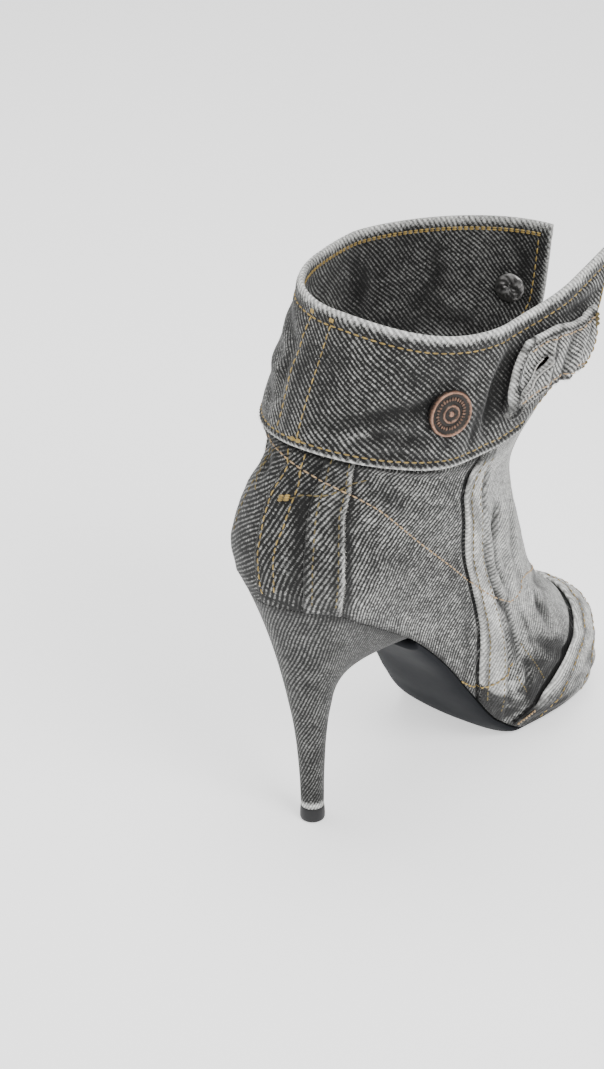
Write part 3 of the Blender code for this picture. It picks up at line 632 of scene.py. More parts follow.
class Look:
    """A material, with short ways to add shader nodes to it."""

    def __init__(self, name, rough, metal=0.0):
        self.material = bpy.data.materials.new(name)
        self.material.use_nodes = True
        self.tree = self.material.node_tree
        self.set({"Roughness": rough, "Metallic": metal})

    def set(self, inputs):
        for name, source in inputs.items():
            feed(self.tree.nodes["Principled BSDF"].inputs[name], source)

    def node(self, kind, inputs=None, output=0, **props):
        """One output of a new node with its inputs and properties set."""
        node = self.tree.nodes.new(kind)
        for name, value in props.items():
            setattr(node, name, value)
        for name, source in (inputs or {}).items():
            feed(node.inputs[name], source)
        return Value(self.tree, node.outputs[output])

    def noise(self, scale, detail=2.0, rough=0.5):
        spot = self.node("ShaderNodeTexCoord", output="Object")
        inputs = dict(Vector=spot, Scale=scale, Detail=detail, Roughness=rough)
        return self.node("ShaderNodeTexNoise", inputs, "Fac")

    def layer(self, name, output="Fac"):
        return self.node("ShaderNodeAttribute", output=output, attribute_type="GEOMETRY",
                         attribute_name=name)

    def mix(self, factor, low, high):
        """Colour between two plain ones."""
        inputs = {"Factor": factor, 6: (*low, 1.0), 7: (*high, 1.0)}
        return self.node("ShaderNodeMix", inputs, 2, data_type="RGBA")

    def bump(self, height, strength, millimetres):
        inputs = dict(Strength=strength, Distance=millimetres * MM, Height=height)
        self.set({"Normal": self.node("ShaderNodeBump", inputs)})


def denim_material():
    """Washed twill: pale weft dots on dark warp, led by the layers of the cloth pieces; the shade
    layer darkens it with painted shade of creases, seams and overlaps and with dark wash patches.
    """
    look = Look("washed_twill", 0.88)
    woven = look.layer("cloth", "Vector")
    across, along = (look.node("ShaderNodeSeparateXYZ", {0: woven}, axis) for axis in (0, 1))
    across = across + ((look.noise(1900.0) - 0.5) * 0.34 + (look.noise(300.0) - 0.5) * 0.30)
    line = ((across * TURN).maths("SINE") * 0.62 + 0.46).limited()
    broken = ((look.noise(1250.0, 3.0, 0.7) - 0.32) * 3.2).limited()
    line = line * (broken * 0.56 + 0.42)
    row = (across + 0.25).maths("FLOOR")
    along = along.maths("DIVIDE", 0.40) + row * 0.37
    dash = (along * TURN).maths("SINE") * 0.5 + 0.5
    cell = look.node("ShaderNodeCombineXYZ", {0: row, 1: along.maths("FLOOR")})
    speck = look.node("ShaderNodeTexWhiteNoise", dict(Vector=cell), "Value", noise_dimensions="2D")
    weave = line * (dash * 0.30 + 0.68) + (speck - 0.5) * 0.38
    wash = look.noise(95.0, 4.0, 0.62) - 0.5
    grain = look.noise(2000.0, 2.0, 0.7) - 0.5
    level = (weave - 0.45) * look.layer("contrast") + look.layer("tone")
    level = level + wash * 0.34 + grain * 0.42
    ragged = ((grain * 0.9 + wash * 0.5 + look.layer("worn") - 0.12) * 1.5).limited()
    pale = weave * 0.40 + 0.60
    level = level + (pale - level) * ragged
    # Painted shade and dark wash patches from the shade layer, their edges broken up by noise.
    shade = look.layer("shade")
    shade_noise = (grain * 0.8 + wash) * (shade * -1.0 + 1.15)
    level = level * (shade + shade_noise).limited()
    level = level.maths("MAXIMUM", 0.10).maths("POWER", 2.2)
    colour = look.node("ShaderNodeCombineColor", {0: level, 1: level, 2: level * 0.965})
    look.set({"Base Color": colour, "Sheen Weight": 0.12, "Specular IOR Level": 0.25})
    look.bump(grain * 0.5 + weave, 0.55, 0.22)
    return look.material


def thread_material(name, colour, dark):
    """Sewing thread with fine fibres, unevenly aged; the tint layer varies each stitch."""
    look = Look(name, 0.6)
    age = ((look.noise(240.0, 3.0) - 0.35) * 1.8).limited()
    fibre = look.noise(3000.0, 1.0)
    shade = (fibre * 0.5 + (look.layer("tint") * 0.3 - 0.2)).limited()
    look.set({"Base Color": look.mix((shade + age * 0.45).limited(), dark, colour)})
    look.bump(fibre, 0.5, 0.1)
    return look.material


def smooth_material(name, colour, rough, speck_scale, speck, bump_mm, gloss=0.5, metal=0.0):
    look = Look(name, rough, metal)
    fine = look.noise(speck_scale, 3.0, 0.6)
    broad = look.noise(45.0, 3.0, 0.55)
    dark = [c * (1 - speck) for c in colour]
    light = [min(1.0, c * (1 + speck)) for c in colour]
    look.set({"Base Color": look.mix(fine * 0.5 + broad * 0.5, dark, light),
              "Roughness": (broad - 0.5) * 0.25 + rough, "Specular IOR Level": gloss})
    look.bump(fine, 0.4, bump_mm)
    return look.material


def copper_material():
    """Old copper: bright on the raised rims, dark in the hollows (the raised layer)."""
    look = Look("aged_copper", 0.38, 1.0)
    patch = look.noise(900.0, 4.0, 0.65)
    high = ((patch - 0.72) * 1.5 + look.layer("raised")).limited()
    look.set({"Base Color": look.mix(high, (0.050, 0.046, 0.043), (0.50, 0.28, 0.19)),
              "Roughness": high * -0.22 + 0.6})
    look.bump(patch, 0.35, 0.15)
    return look.material


TWILL_CLOTH = denim_material()
GOLD = thread_material("gold_thread", (0.60, 0.41, 0.11), (0.19, 0.13, 0.04))
OLIVE = thread_material("olive_thread", (0.25, 0.19, 0.055), (0.07, 0.05, 0.02))
SAND = thread_material("sand_thread", (0.64, 0.43, 0.22), (0.30, 0.20, 0.11))
FLUFF = thread_material("cut_fibres", (0.72, 0.71, 0.67), (0.45, 0.44, 0.42))
SOLE_BLACK = smooth_material("sole_black_satin", (0.010, 0.011, 0.013), 0.62, 600.0, 0.35, 0.04,
                             gloss=0.06)
TIP_BLACK = smooth_material("tip_black", (0.016, 0.016, 0.017), 0.5, 900.0, 0.3, 0.05, gloss=0.3)
INSOLE_CLOTH = smooth_material("insole_dark", (0.055, 0.055, 0.057), 0.75, 1200.0, 0.35, 0.08)
COPPER = copper_material()
TACK_METAL = smooth_material("tack_steel", (0.26, 0.255, 0.25), 0.40, 800.0, 0.7, 0.3, metal=1.0)


# Upper

def step_up(x, at, width):
    return ease((x - at) / width + 0.5)


def seam_q(row, ring):
    return through(STRIP_RINGS, row["q"], ring)


def strip_far(row, ring):
    return seam_q(row, ring) + row["foot"] + (row["head"] - row["foot"]) * ring / CUFF_LOW


# Marks on the upper: path of (ring, q), half width in millimetres, darker (+) or worn paler (-). Most
# dark marks are painted shade along the creases, beside the seam strips, along the seat line and
# along the sole; those about the toe are dark patches of the wash.
UPPER_MARKS = [
    ([(5.4, 0.62), (4.83, 0.593), (4.4, 0.587)], 2.4, 0.45),
    ([(6.3, 0.6), (5.6, 0.556), (4.9, 0.54)], 1.5, 0.4),
    ([(4.48, 0.553), (3.62, 0.546), (2.88, 0.556)], 1.3, 0.5),
    ([(3.03, 0.56), (2.27, 0.555), (1.8, 0.556)], 1.2, 0.45),
    ([(3.9, 0.789), (3.6, 0.76)], 4.5, 0.34), ([(3.1, 0.669), (2.9, 0.675)], 3.4, 0.42),
    ([(2.3, 0.617), (2.12, 0.665)], 2.6, 0.66), ([(1.95, 0.575), (1.88, 0.61)], 2.0, 0.7),
    ([(1.83, 0.665), (1.7, 0.625), (1.3, 0.59)], 2.4, 0.8),
    ([(1.4, 0.575), (1.2, 0.595)], 2.3, 0.78),
    ([(2.62, 0.9), (2.42, 0.78), (2.22, 0.735)], 2.5, 0.74),
    ([(2.15, 0.71), (1.9, 0.685)], 2.0, 0.72), ([(2.9, 0.6), (2.4, 0.595), (1.9, 0.6)], 1.1, 0.4),
    ([(0.05, 0.568), (0.4, 0.585), (0.9, 0.605)], 2.6, 0.78),
    ([(1.05, 0.572), (0.5, 0.562), (0.05, 0.552)], 2.2, 0.8),
    ([(0.2, 0.515), (0.6, 0.53), (1.05, 0.545), (0.9, 0.57)], 2.6, 0.84),
    ([(0.1, 0.53), (0.6, 0.566)], 2.4, 0.84),
    ([(3.3, 0.62), (2.9, 0.615), (2.5, 0.61)], 1.6, -0.45),
    ([(2.66, 0.74), (2.53, 0.79)], 2.2, -0.4),
    ([(1.15, 0.562), (1.45, 0.556), (1.3, 0.54)], 0.8, -0.95),
    ([(4.4, 0.6), (3.8, 0.61), (3.3, 0.62)], 1.5, -0.35),
    ([(0.05, 0.094), (2.4, 0.094), (4.8, 0.094), (6.5, 0.09)], 1.6, 0.32),
    ([(0.1, 0.205), (2.0, 0.202), (4.6, 0.196), (6.3, 0.192)], 1.3, 0.62),
    ([(0.35, -0.062), (0.47, -0.004), (0.44, 0.037), (0.25, 0.078), (0.02, 0.101)], 0.7, 0.95),
    ([(4.6, 0.075), (4.1, 0.085), (3.3, 0.08)], 2.2, 0.34),
    ([(4.9, 0.03), (4.3, 0.05), (3.9, 0.02)], 1.6, 0.4),
    ([(6.2, -0.05), (5.5, -0.07), (4.8, -0.08)], 2.0, 0.4),
    ([(3.0, 0.085), (1.8, 0.082), (0.9, 0.085)], 1.8, 0.35),
    ([(6.2, 0.06), (5.8, 0.12), (5.5, 0.17)], 2.2, 0.45),
    ([(5.6, 0.22), (5.2, 0.27), (5.0, 0.34)], 1.8, 0.3),
    ([(5.9, 0.27), (5.5, 0.36), (5.4, 0.44)], 1.8, -0.22),
    ([(4.2, -0.02), (3.2, -0.05), (2.2, -0.05)], 2.0, -0.22),
    ([(3.6, 0.03), (2.6, 0.065), (1.6, 0.07)], 1.2, -0.25),
    ([(2.0, 0.3), (1.0, 0.34), (0.3, 0.36)], 4.0, -0.12),
    ([(3.5, 0.455), (2.4, 0.462), (1.2, 0.47), (0.2, 0.475)], 2.2, 0.3),
    ([(0.05, 0.3), (0.05, 0.4), (0.05, 0.5)], 1.2, 0.35),
    ([(0.05, 0.1), (0.05, 0.2), (0.05, 0.3)], 1.0, 0.35),
]
MIRRORED = 16    # so many of the first marks lie on the medial side too
UPPER_MARKS += [([(r, -q) for r, q in path], wide, dark)
                for path, wide, dark in UPPER_MARKS[:MIRRORED]]


def upper_tone(ring, q):
    """Tone, contrast, shade and wear of the washed panels, chosen against the photograph; most of the
    shade is painted shade of creases, seam strips, the cuff's edge and the sole line.
    """
    side = np.abs(q)
    front = step_up(side, np.abs(seam_q(STRIPS[2], ring)) + 0.012, 0.02)
    near_strip = np.where(q >= 0, strip_far(STRIPS[0], ring), np.abs(seam_q(STRIPS[1], ring)))
    quarter = step_up(side, near_strip, 0.03)
    tone = 0.265 + 0.115 * quarter + 0.04 * quarter * ease((3.5 - ring) / 3)
    contrast = 0.76 - 0.02 * quarter
    tone = tone + (0.64 - tone) * front
    contrast = contrast + (0.42 - contrast) * front
    toe_side = ease((side - 0.575) / 0.02) * ease((0.80 - side) / 0.12)
    tone = tone - 0.12 * front * ease((3.1 - ring) / 0.8)
    tone = tone - 0.38 * front * toe_side * ease((2.35 - ring) / 0.7)
    contrast = contrast + 0.24 * front * ease((2.8 - ring) / 1.2)
    shade, pale = painted(ring, q, UPPER_MARKS)
    # Painted shadow under the cuff's lower edge, then painted shade along the sole line.
    shade = shade * (1 - 0.34 * bell((ring - 6.75) / 0.28) * (1 - 0.5 * front))
    shade = shade * (1 - 0.15 * bell(ring / 0.20) * (1 - front))
    return tone, contrast, np.clip(shade, 0.10, 1.0), pale


def seam_groove(ring, q):
    """Groove behind the quarter seams and round the toe hem, and the painted shade in it and beside
    the far edges of the side strips.
    """
    height = np.zeros(ring.shape)
    dark = np.zeros(ring.shape)
    around = arc(ring, q)
    for row in STRIPS[2:]:
        d = (around - arc(ring, seam_q(row, ring))) * np.sign(row["foot"])
        near = bell((d + 0.5) / 1.15) * ease((6.9 - ring) / 0.4)
        height -= 1.3 * MM * near
        wide = 0.80 + 0.28 * np.sin(ring * 2.3 + 0.6)
        dark = np.maximum(dark, (0.86 + 0.07 * np.sin(ring * 3.1)) * bell((d + 0.35) / wide))
    for row in STRIPS[:2]:
        d = (around - arc(ring, strip_far(row, ring))) * np.sign(row["foot"])
        dark = np.maximum(dark, 0.45 * bell((d - 0.5) / 1.3))
    gap = ring - edge_ring(q, BAND_SEAM)
    hem = bell((gap - 0.01) / (0.07 + 0.02 * np.sin(q * 31))) * (np.abs(q) > 1 - BAND_SEAM["reach"])
    height -= 1.1 * MM * hem
    dark = np.maximum(dark, 0.88 * hem)
    return height, dark


def upper_relief(ring, q):
    """Height over the plain surface, and the painted shade in its creases and seam grooves."""
    height, trough_shade = crease_field(surface(ring, q), UPPER_CREASES)
    under_cuff = ease((ring - CUFF_LOW + 0.30) / 0.25)
    height = height * (1 - under_cuff)
    groove, dark = seam_groove(ring, q)
    ripple = np.sin(arc(ring, q) * 0.55 + 2.0 * np.sin(ring * 1.7)) * np.sin(ring * 5.1 + q * 7)
    height = height + groove + 0.10 * MM * ripple
    tuck = -CUFF_TUCK * ease((ring - CUFF_LOW + 0.30) / 0.30)
    tuck = tuck - BAND_TUCK * ease((edge_ring(q, REBATE) - ring) / 0.25)
    return height + tuck, np.maximum(trough_shade, dark)


def relief_under_seams(ring, q):
    """Relief of the upper without its grooves, which the seam strips bridge."""
    return upper_relief(ring, q)[0] - seam_groove(ring, q)[0]


def build_upper():
    """Shell of the shaft and vamp: outer face, rolled top edge and lining in one closed grid."""
    cols = 420
    lip_shares = (0.15, 0.5, 0.85)
    q = np.arange(-cols // 2, cols // 2) / (cols // 2)
    low, high = edge_ring(q, PEEP), top_ring(q)

    def face(k):
        ring = low + (high - low) * (k * 0.78 + 0.22 * k * k)
        grid = np.broadcast_to(q, ring.shape)
        return (ring, grid, *upper_relief(ring, grid))

    ring, grid, relief, trough_shade = face(np.linspace(0, 1, 186)[:, None])
    ring_in, grid_in, relief_in, _ = face(np.linspace(1, 0, 40)[:, None])
    rows = [lifted(ring, grid, relief)]
    for share in lip_shares:
        rise = 0.35 * math.sin(math.pi * share) * 0.04
        rows.append(lifted(ring[-1:] + rise, grid[-1:], relief[-1:] - WALL * share))
    rows.append(lifted(ring_in, grid_in, relief_in - WALL))
    rows.append(lifted(ring[:1], grid[:1], relief[:1] - WALL * 0.5))
    all_ring = np.concatenate([ring, np.repeat(ring[-1:], len(lip_shares), 0), ring_in, ring[:1]])
    all_q = np.broadcast_to(q, all_ring.shape)
    tone, contrast, shade, pale = upper_tone(all_ring, all_q)
    outer_rows = len(ring)
    # Painted shade in the creases and seam grooves of the outer face.
    shade[:outer_rows] *= 1 - trough_shade
    hidden = ease((all_ring - 6.85) / 0.15)
    tone = tone + (0.34 - tone) * hidden
    contrast = contrast + (0.4 - contrast) * hidden
    lining = np.arange(len(all_ring)) >= outer_rows + len(lip_shares)
    tone[lining] = 0.30
    contrast[lining] = 0.22
    shade[lining] = 0.8
    worn = bell((high - all_ring) * 12.5) * (np.abs(all_q) > 0.80) * (all_ring < 6.9)
    worn = np.maximum(worn, bell((all_ring - low) * 14 / 1.2) * (np.abs(all_q) > 1 - PEEP["reach"]))
    for row in STRIPS[2:]:
        d = (arc(all_ring, all_q) - arc(all_ring, seam_q(row, all_ring))) * np.sign(row["foot"])
        worn = np.maximum(worn, 0.35 * bell((d - 9.0) / 3.0) * (all_ring < 6.2))
    weave = cloth(all_ring, all_q, 66.0, COARSE_TWILL)
    medial = (all_q < -0.012) & (all_q > seam_q(STRIPS[3], all_ring))
    weave = np.where(medial[..., None], cloth(all_ring, all_q, 34.0, SIDE_TWILL), weave)
    points = np.concatenate(rows).reshape(-1, 3)
    faces = outward(points, quads(len(all_ring), cols, wrap_rows=True, wrap_cols=True))
    layers = dict(cloth=weave.reshape(-1, 3), tone=tone.ravel(), contrast=contrast.ravel(),
                  worn=np.maximum(worn, pale).ravel(), shade=np.clip(shade, 0.08, 1).ravel())
    ob = mesh_object("boot_upper", points, faces, layers)
    return finish_piece(ob, TWILL_CLOTH, "denim", "upper")


def build_strip(row, tone, contrast, light_edge):
    """Felled seam laid on the upper, its cut edge worn pale."""
    rows, rim = 300, 0.09
    w = edged(16, rim)[None, :]
    k = np.linspace(0, 1, rows)[:, None]
    foot, head = STRIP_LOW * 0.2, STRIP_HIGH + 0.02
    ring = foot + (head - foot) * k + 0 * w
    q = seam_q(row, ring) + (strip_far(row, ring) - seam_q(row, ring)) * w
    ends = np.clip(np.minimum(k, 1 - k) / 0.004, 0, 1) ** 0.5
    soft = rim_profile(w, rim) * ends
    relief = relief_under_seams(ring, q)
    z = surface(ring, q)[..., 2] / MM
    twist = np.sin(z * TURN / 1.9 + 14 * np.abs(w - light_edge))
    jog = 0.30 * MM * twist * bell((w - light_edge) / 0.10)
    swell = 0.35 * MM * np.sin(np.pi * np.clip(w, 0, 1)) + 0.22 * MM * np.sin(3 * np.pi * w) ** 2
    high = relief + STRIP_WALL + swell + jog + 0.25 * MM
    weave = cloth(ring, q, 34.0 if row is STRIPS[1] else 60.0, COARSE_TWILL)
    worn = (0.80 + 0.22 * twist) * bell((w - light_edge) / 0.12)
    worn = worn + 0.30 * bell((w - (1 - light_edge)) / 0.06)
    # Painted shade along the strip's edges and under the cuff's lower edge.
    shade = 1 - 0.30 * bell((w - abs(light_edge - 0.24)) / 0.07) - 0.4 * bell((ring - 6.8) / 0.25)
    shade = shade * (1 - 0.45 * bell((w - (1 - light_edge)) / 0.07))
    _, _, base_shade, pale = upper_tone(ring, q)
    if light_edge == 0.0:
        end = 0.80 + 0.35 * w
        shade = shade * (1 - 0.84 * ease((end - ring) / 0.12 + 0.5))
        worn = np.maximum(worn * (ring > end), 0.9 * bell((ring - end) / 0.07))
    blotch = np.sin(ring * 2.9 + 4 * w) * np.sin(ring * 1.3 + 1.0)
    shade = shade * (0.92 + 0.14 * blotch)
    layers = dict(cloth=weave, tone=tone + 0 * ring, contrast=contrast + 0 * ring,
                  worn=np.maximum(worn, 0.4 * pale),
                  shade=np.clip(shade * (0.55 + 0.45 * base_shade), 0.12, 1))
    ob = pillow(row["name"] + "_cloth", ring, q, relief - 0.35 * MM, high, layers, soft)
    return finish_piece(ob, TWILL_CLOTH, "denim", row["name"])


# Dark patches of the toe hem: how far to the side, how far up, half width, half height, depth.
HEM_PATCHES = [
    (0.97, 0.8, 0.03, 0.22, 0.62), (0.93, 0.3, 0.025, 0.16, 0.45), (0.86, 0.45, 0.03, 0.14, 0.42),
    (0.78, 0.2, 0.035, 0.12, 0.5), (0.7, 0.6, 0.03, 0.1, 0.35), (0.6, 0.25, 0.04, 0.12, 0.4),
    (0.45, 0.7, 0.05, 0.1, 0.3), (0.25, 0.35, 0.06, 0.12, 0.35), (0.9, 0.62, 0.02, 0.1, 0.5),
]


def hem_place(k, turn):
    """Ring and q on the toe hem; k runs from the opening to its far edge, turn around the toe."""
    reach = PEEP["reach"] + (BAND_SEAM["reach"] - PEEP["reach"]) * k
    top = PEEP["ring"] + (BAND_SEAM["ring"] - PEEP["ring"]) * k
    d = reach * np.sin(turn)
    return top * np.cos(turn), np.where(d >= 0, 1 - d, -1 - d)


def hem_fold(k):
    return 0.5 * np.sin(np.pi * k) + 0.28 * np.sin(2.5 * np.pi * k) ** 2


def build_band():
    """Folded hem round the toe opening, with pale worn folds."""
    rim = 0.10
    k = edged(26, rim)[:, None]
    sweep = np.linspace(-1, 1, 300)[None, :]
    turn = sweep * HEM_SWEEP * np.pi / 2
    ring, q = hem_place(k, turn)
    ends = np.clip((1 - np.abs(sweep)) / 0.01, 0, 1) ** 0.5
    soft = rim_profile(k, rim) * ends
    lump = np.sin(turn * 23 + 3 * k) * 0.45 + np.sin(turn * 41 - 5 * k) * 0.25
    high = LAID + BAND_WALL + (hem_fold(k) + lump) * MM * HEM_PUFF + 0 * ring
    low = np.full(ring.shape, -0.6 * MM)
    worn = np.maximum(0.9 * bell((k - 1) / 0.08), 0.85 * bell(k / 0.10)) + 0 * ring
    worn = np.maximum(worn, 0.45 * bell((k - 0.55) / 0.12) * (0.5 + 0.5 * np.sin(turn * 19 + 1)))
    side = np.abs(np.sin(turn))
    shade = 1 - 0.42 * bell((k - 0.80) / 0.06) - 0.38 * bell((k - 0.3) / 0.06)
    shade = shade * (1 - 0.62 * ease((side - 0.90) / 0.07) * ease((k - 0.35) / 0.25))
    for at, k_at, wide, tall, depth in HEM_PATCHES:
        shade = shade * (1 - depth * bell(np.hypot((side - at) / wide, (k - k_at) / tall)))
    tone = 0.75 - 0.12 * ease((side - 0.6) / 0.35) + 0 * ring
    layers = dict(cloth=cloth(ring, q, 35.0, COARSE_TWILL), tone=tone, contrast=0.55 + 0 * ring,
                  worn=worn, shade=np.clip(shade + 0 * ring, 0.12, 1))
    ob = pillow("toe_hem", ring, q, low, high, layers, soft)
    return finish_piece(ob, TWILL_CLOTH, "pale_denim", "toe_band")


# Cuff

# Marks on the cuff, in the same columns as those on the upper: most dark ones are painted shade in
# and beside the creases and by the strap, the pale ones worn wrinkles.
CUFF_MARKS = [
    ([(7.35, 0.1), (7.52, 0.19), (7.45, 0.28)], 1.1, -0.4),
    ([(7.62, 0.13), (7.8, 0.2), (7.9, 0.25)], 1.0, -0.3),
    ([(8.3, 0.2), (8.1, 0.27), (8.15, 0.33)], 1.6, -0.18),
    ([(7.25, 0.3), (7.33, 0.36), (7.28, 0.42)], 1.2, -0.3),
    ([(8.55, 0.5), (8.0, 0.515), (7.5, 0.53)], 2.8, 0.55),
    ([(8.1, 0.44), (7.7, 0.455), (7.3, 0.47)], 1.8, 0.4),
    ([(7.75, 0.27), (7.95, 0.3), (8.15, 0.31)], 2.2, 0.42),
    ([(7.55, 0.2), (7.45, 0.26), (7.55, 0.32)], 1.7, 0.3),
    ([(8.7, 0.05), (8.2, 0.03), (7.5, 0.03)], 4.5, 0.2),
    ([(8.5, -0.045), (8.0, -0.05), (7.4, -0.045)], 1.8, 0.3),
    ([(8.4, -0.16), (8.0, -0.13), (7.6, -0.14)], 2.5, -0.2),
    ([(7.9, -0.1), (7.7, -0.09), (7.5, -0.11)], 1.6, -0.25),
    ([(8.2, -0.2), (7.9, -0.19), (7.5, -0.2)], 1.8, 0.3),
    ([(7.18, 0.0), (7.22, 0.2), (7.2, 0.4)], 1.2, 0.22),
    ([(8.55, 0.58), (8.5, 0.7), (8.45, 0.82)], 1.6, -0.3),
    ([(8.62, 0.66), (8.55, 0.75), (8.5, 0.84)], 1.5, 0.45),
]


# Marks on the inner face of the cuff: the dark ones are painted shade inside the collar, the pale
# ones painted light on its folds.
LINING_MARKS = [
    ([(8.85, -0.3), (8.4, -0.33), (8.0, -0.33)], 1.3, -0.42),
    ([(8.7, -0.45), (8.4, -0.5), (8.2, -0.58)], 1.0, -0.25),
    ([(8.6, -0.7), (8.2, -0.72), (7.8, -0.68)], 4.0, 0.45),
    ([(8.75, -0.9), (8.4, -0.93), (8.0, -0.9)], 3.5, 0.35),
    ([(8.4, -0.3), (8.0, -0.35), (7.6, -0.33)], 4.0, 0.4),
    ([(8.6, -0.5), (8.3, -0.55), (8.0, -0.52)], 2.5, 0.3),
    ([(7.6, -0.9), (7.5, -0.5), (7.6, -0.1)], 4.0, 0.35),
    ([(8.5, -0.12), (8.1, -0.16), (7.8, -0.15)], 2.5, 0.3),
]


def cuff_relief(ring, q):
    """Height over the plain cuff, and the painted shade in its crease troughs; both fade at its
    edges.
    """
    height, trough_shade = crease_field(surface(ring, q), CUFF_CREASES)
    u = arc(ring, q)
    wave = 0.25 * np.sin(u * 0.16 + ring * 2.0) + 0.12 * np.sin(u * 0.43 - ring * 3.1)
    middle = np.sin(np.pi * np.clip((ring - CUFF_LOW) / 2, 0, 1))
    return height * (0.4 + 0.6 * middle) + wave * MM * middle, trough_shade * (0.35 + 0.65 * middle)


def cuff_edges(ring):
    """Millimetres from the upper and from the lower edge of the cuff."""
    return (CUFF_TOP - ring) * CUFF_STEP, (ring - CUFF_LOW) * CUFF_STEP


def cuff_seam(from_top, from_low):
    """Depth of the two sewn rows of the cuff."""
    return -0.40 * MM * bell((from_top - 4.8) / 0.8) - 0.30 * MM * bell((from_low - 3.8) / 0.8)


def build_cuff():
    rim, end_rim = 0.045, 0.008
    k = edged(84, rim)[:, None]
    w = edged(400, end_rim)[None, :]
    ring = CUFF_LOW + (CUFF_TOP - CUFF_LOW) * k + 0 * w
    q = -1 + (cuff_front(ring) + 1) * w
    soft = np.minimum(rim_profile(k, rim), rim_profile(w, end_rim))
    relief, trough_shade = cuff_relief(ring, q)
    from_top, from_low = cuff_edges(ring)
    u = arc(ring, q)
    twist = np.sin(u * TURN / 2.2 + from_top * 1.3)
    rope = 0.16 * twist * bell((from_top - 1.4) / 1.3)
    rope = rope + 0.14 * np.sin(u * TURN / 2.4 + from_low * 1.3) * bell((from_low - 1.3) / 1.2)
    roll = 0.35 * MM * bell((from_top - 1.8) / 1.6) + 0.30 * MM * bell((from_low - 1.6) / 1.4)
    high = GAP + CUFF_FACE + relief + rope * MM + cuff_seam(from_top, from_low) + roll
    low = GAP + relief * LINING_RELIEF
    worn = np.maximum(bell((from_top - 0.5) / 1.6), bell((from_low - 0.4) / 1.5))
    worn = worn * (0.86 + 0.14 * twist)
    worn = np.maximum(worn, 0.8 * bell(np.minimum(w, 1 - w) * 330.0 / 1.6))
    left = bell((q + 0.11) / 0.085)
    tone = 0.285 + 0.075 * left + 0.03 * np.sin(u * 0.11) + 0.08 * ease((q - 0.62) / 0.2)
    tone = tone + 0.05 * bell((from_low - 9) / 8) - 0.03 * bell((from_top - 12) / 10)
    marked, pale = painted(ring, q, CUFF_MARKS)
    worn = np.maximum(worn, pale)
    # Painted shade in the crease troughs and from the dark marks, under the rolled top edge, in the
    # top seam's groove and beside the rolled lower edge.
    shade = (1 - trough_shade) * marked
    shade = shade * (1 - 0.35 * bell((from_top - 3.2) / 0.9) * (0.6 + 0.4 * twist))
    shade = shade * (1 - 0.25 * bell((from_top - 4.9) / 0.8))
    shade = shade * (1 - 0.30 * bell((from_low - 2.6) / 0.9))
    layers = dict(cloth=cloth(ring, q, -40.0), tone=tone, contrast=0.76 - 0.18 * left,
                  worn=worn, shade=np.clip(shade, 0.12, 1))
    rise = 1.1 * MM * bell(from_top / 2.0) - 0.5 * MM * bell(from_low / 1.6)
    # The inner face: painted shade from the dark marks and the crease troughs, and the painted light
    # of the pale marks laid into the worn layer.
    lining, streak = painted(ring, q, LINING_MARKS)
    under = dict(cloth=cloth(ring, q, 38.0, FINE_TWILL), tone=0.30 + 0.03 * np.sin(u * 0.09),
                 contrast=0.55 + 0 * ring, worn=np.maximum(0.8 * worn, streak),
                 shade=np.clip(lining * (1 - 0.6 * trough_shade), 0.12, 1))
    ob = pillow("waistband_cuff", ring, q, low, high, layers, soft, rise=rise, under=under)
    return finish_piece(ob, TWILL_CLOTH, "denim", "cuff")


# Ends of the buttonhole as shares of the strap's length and height.
SLOT_FROM = np.array([0.70, 0.62])
SLOT_TO = np.array([0.915, 0.29])
STRAP_SIZE = np.array([34.0, 27.0])     # rough length and height of the strap, in millimetres


def strap_spot(along, up):
    """Place on the strap with its rear corners rounded."""
    corner = 0.11 * np.clip((up - 0.70) / 0.30, 0, 1) ** 2
    corner = corner + 0.05 * np.clip((0.25 - up) / 0.25, 0, 1) ** 2
    return strap_place(along * (1 - corner), up)


def pleat(along, up):
    """Signed share of the strap's length behind its sharp pleat."""
    return along - (0.64 + 0.07 * (1 - up))


def strap_folds(along, up):
    """Soft and sharp folds of the strap over its plain outer face, in metres."""
    d = pleat(along, up)
    folds = 1.5 * np.exp(-np.abs(d) / 0.024) * ease(up / 0.15) * ease((0.97 - up) / 0.12)
    folds = folds - 1.3 * bell((along - 0.53 + 0.10 * up) / 0.045) * ease(1.3 - up)
    folds = folds + 0.8 * bell((along - 0.42 + 0.12 * up) / 0.05)
    folds = folds - 0.8 * bell((along - 0.30 + 0.2 * up) / 0.05)
    folds = folds + 0.35 * np.sin(up * 7 + along * 16) * ease(along / 0.2)
    lip, t, side = slot_distance(along, up)
    folds = folds + (0.5 + 1.7 * (side < 0) * t) * bell((lip - 1.3) / 1.3)
    return folds * MM


def slot_half(t):
    """Half width of the buttonhole at a share of its length, in millimetres."""
    return 0.40 + 1.00 * bell((t - 0.18) / 0.20) + 1.10 * bell((t - 0.84) / 0.17)


def slot_distance(along, up):
    """Millimetres from the buttonhole's edge, the share along it, and the side of its line."""
    px, py = (along - SLOT_FROM[0]) * STRAP_SIZE[0], (up - SLOT_FROM[1]) * STRAP_SIZE[1]
    vx, vy = (SLOT_TO - SLOT_FROM) * STRAP_SIZE
    t = np.clip((px * vx + py * vy) / (vx * vx + vy * vy), 0, 1)
    return np.hypot(px - t * vx, py - t * vy) - slot_half(t), t, np.sign(px * vy - py * vx)


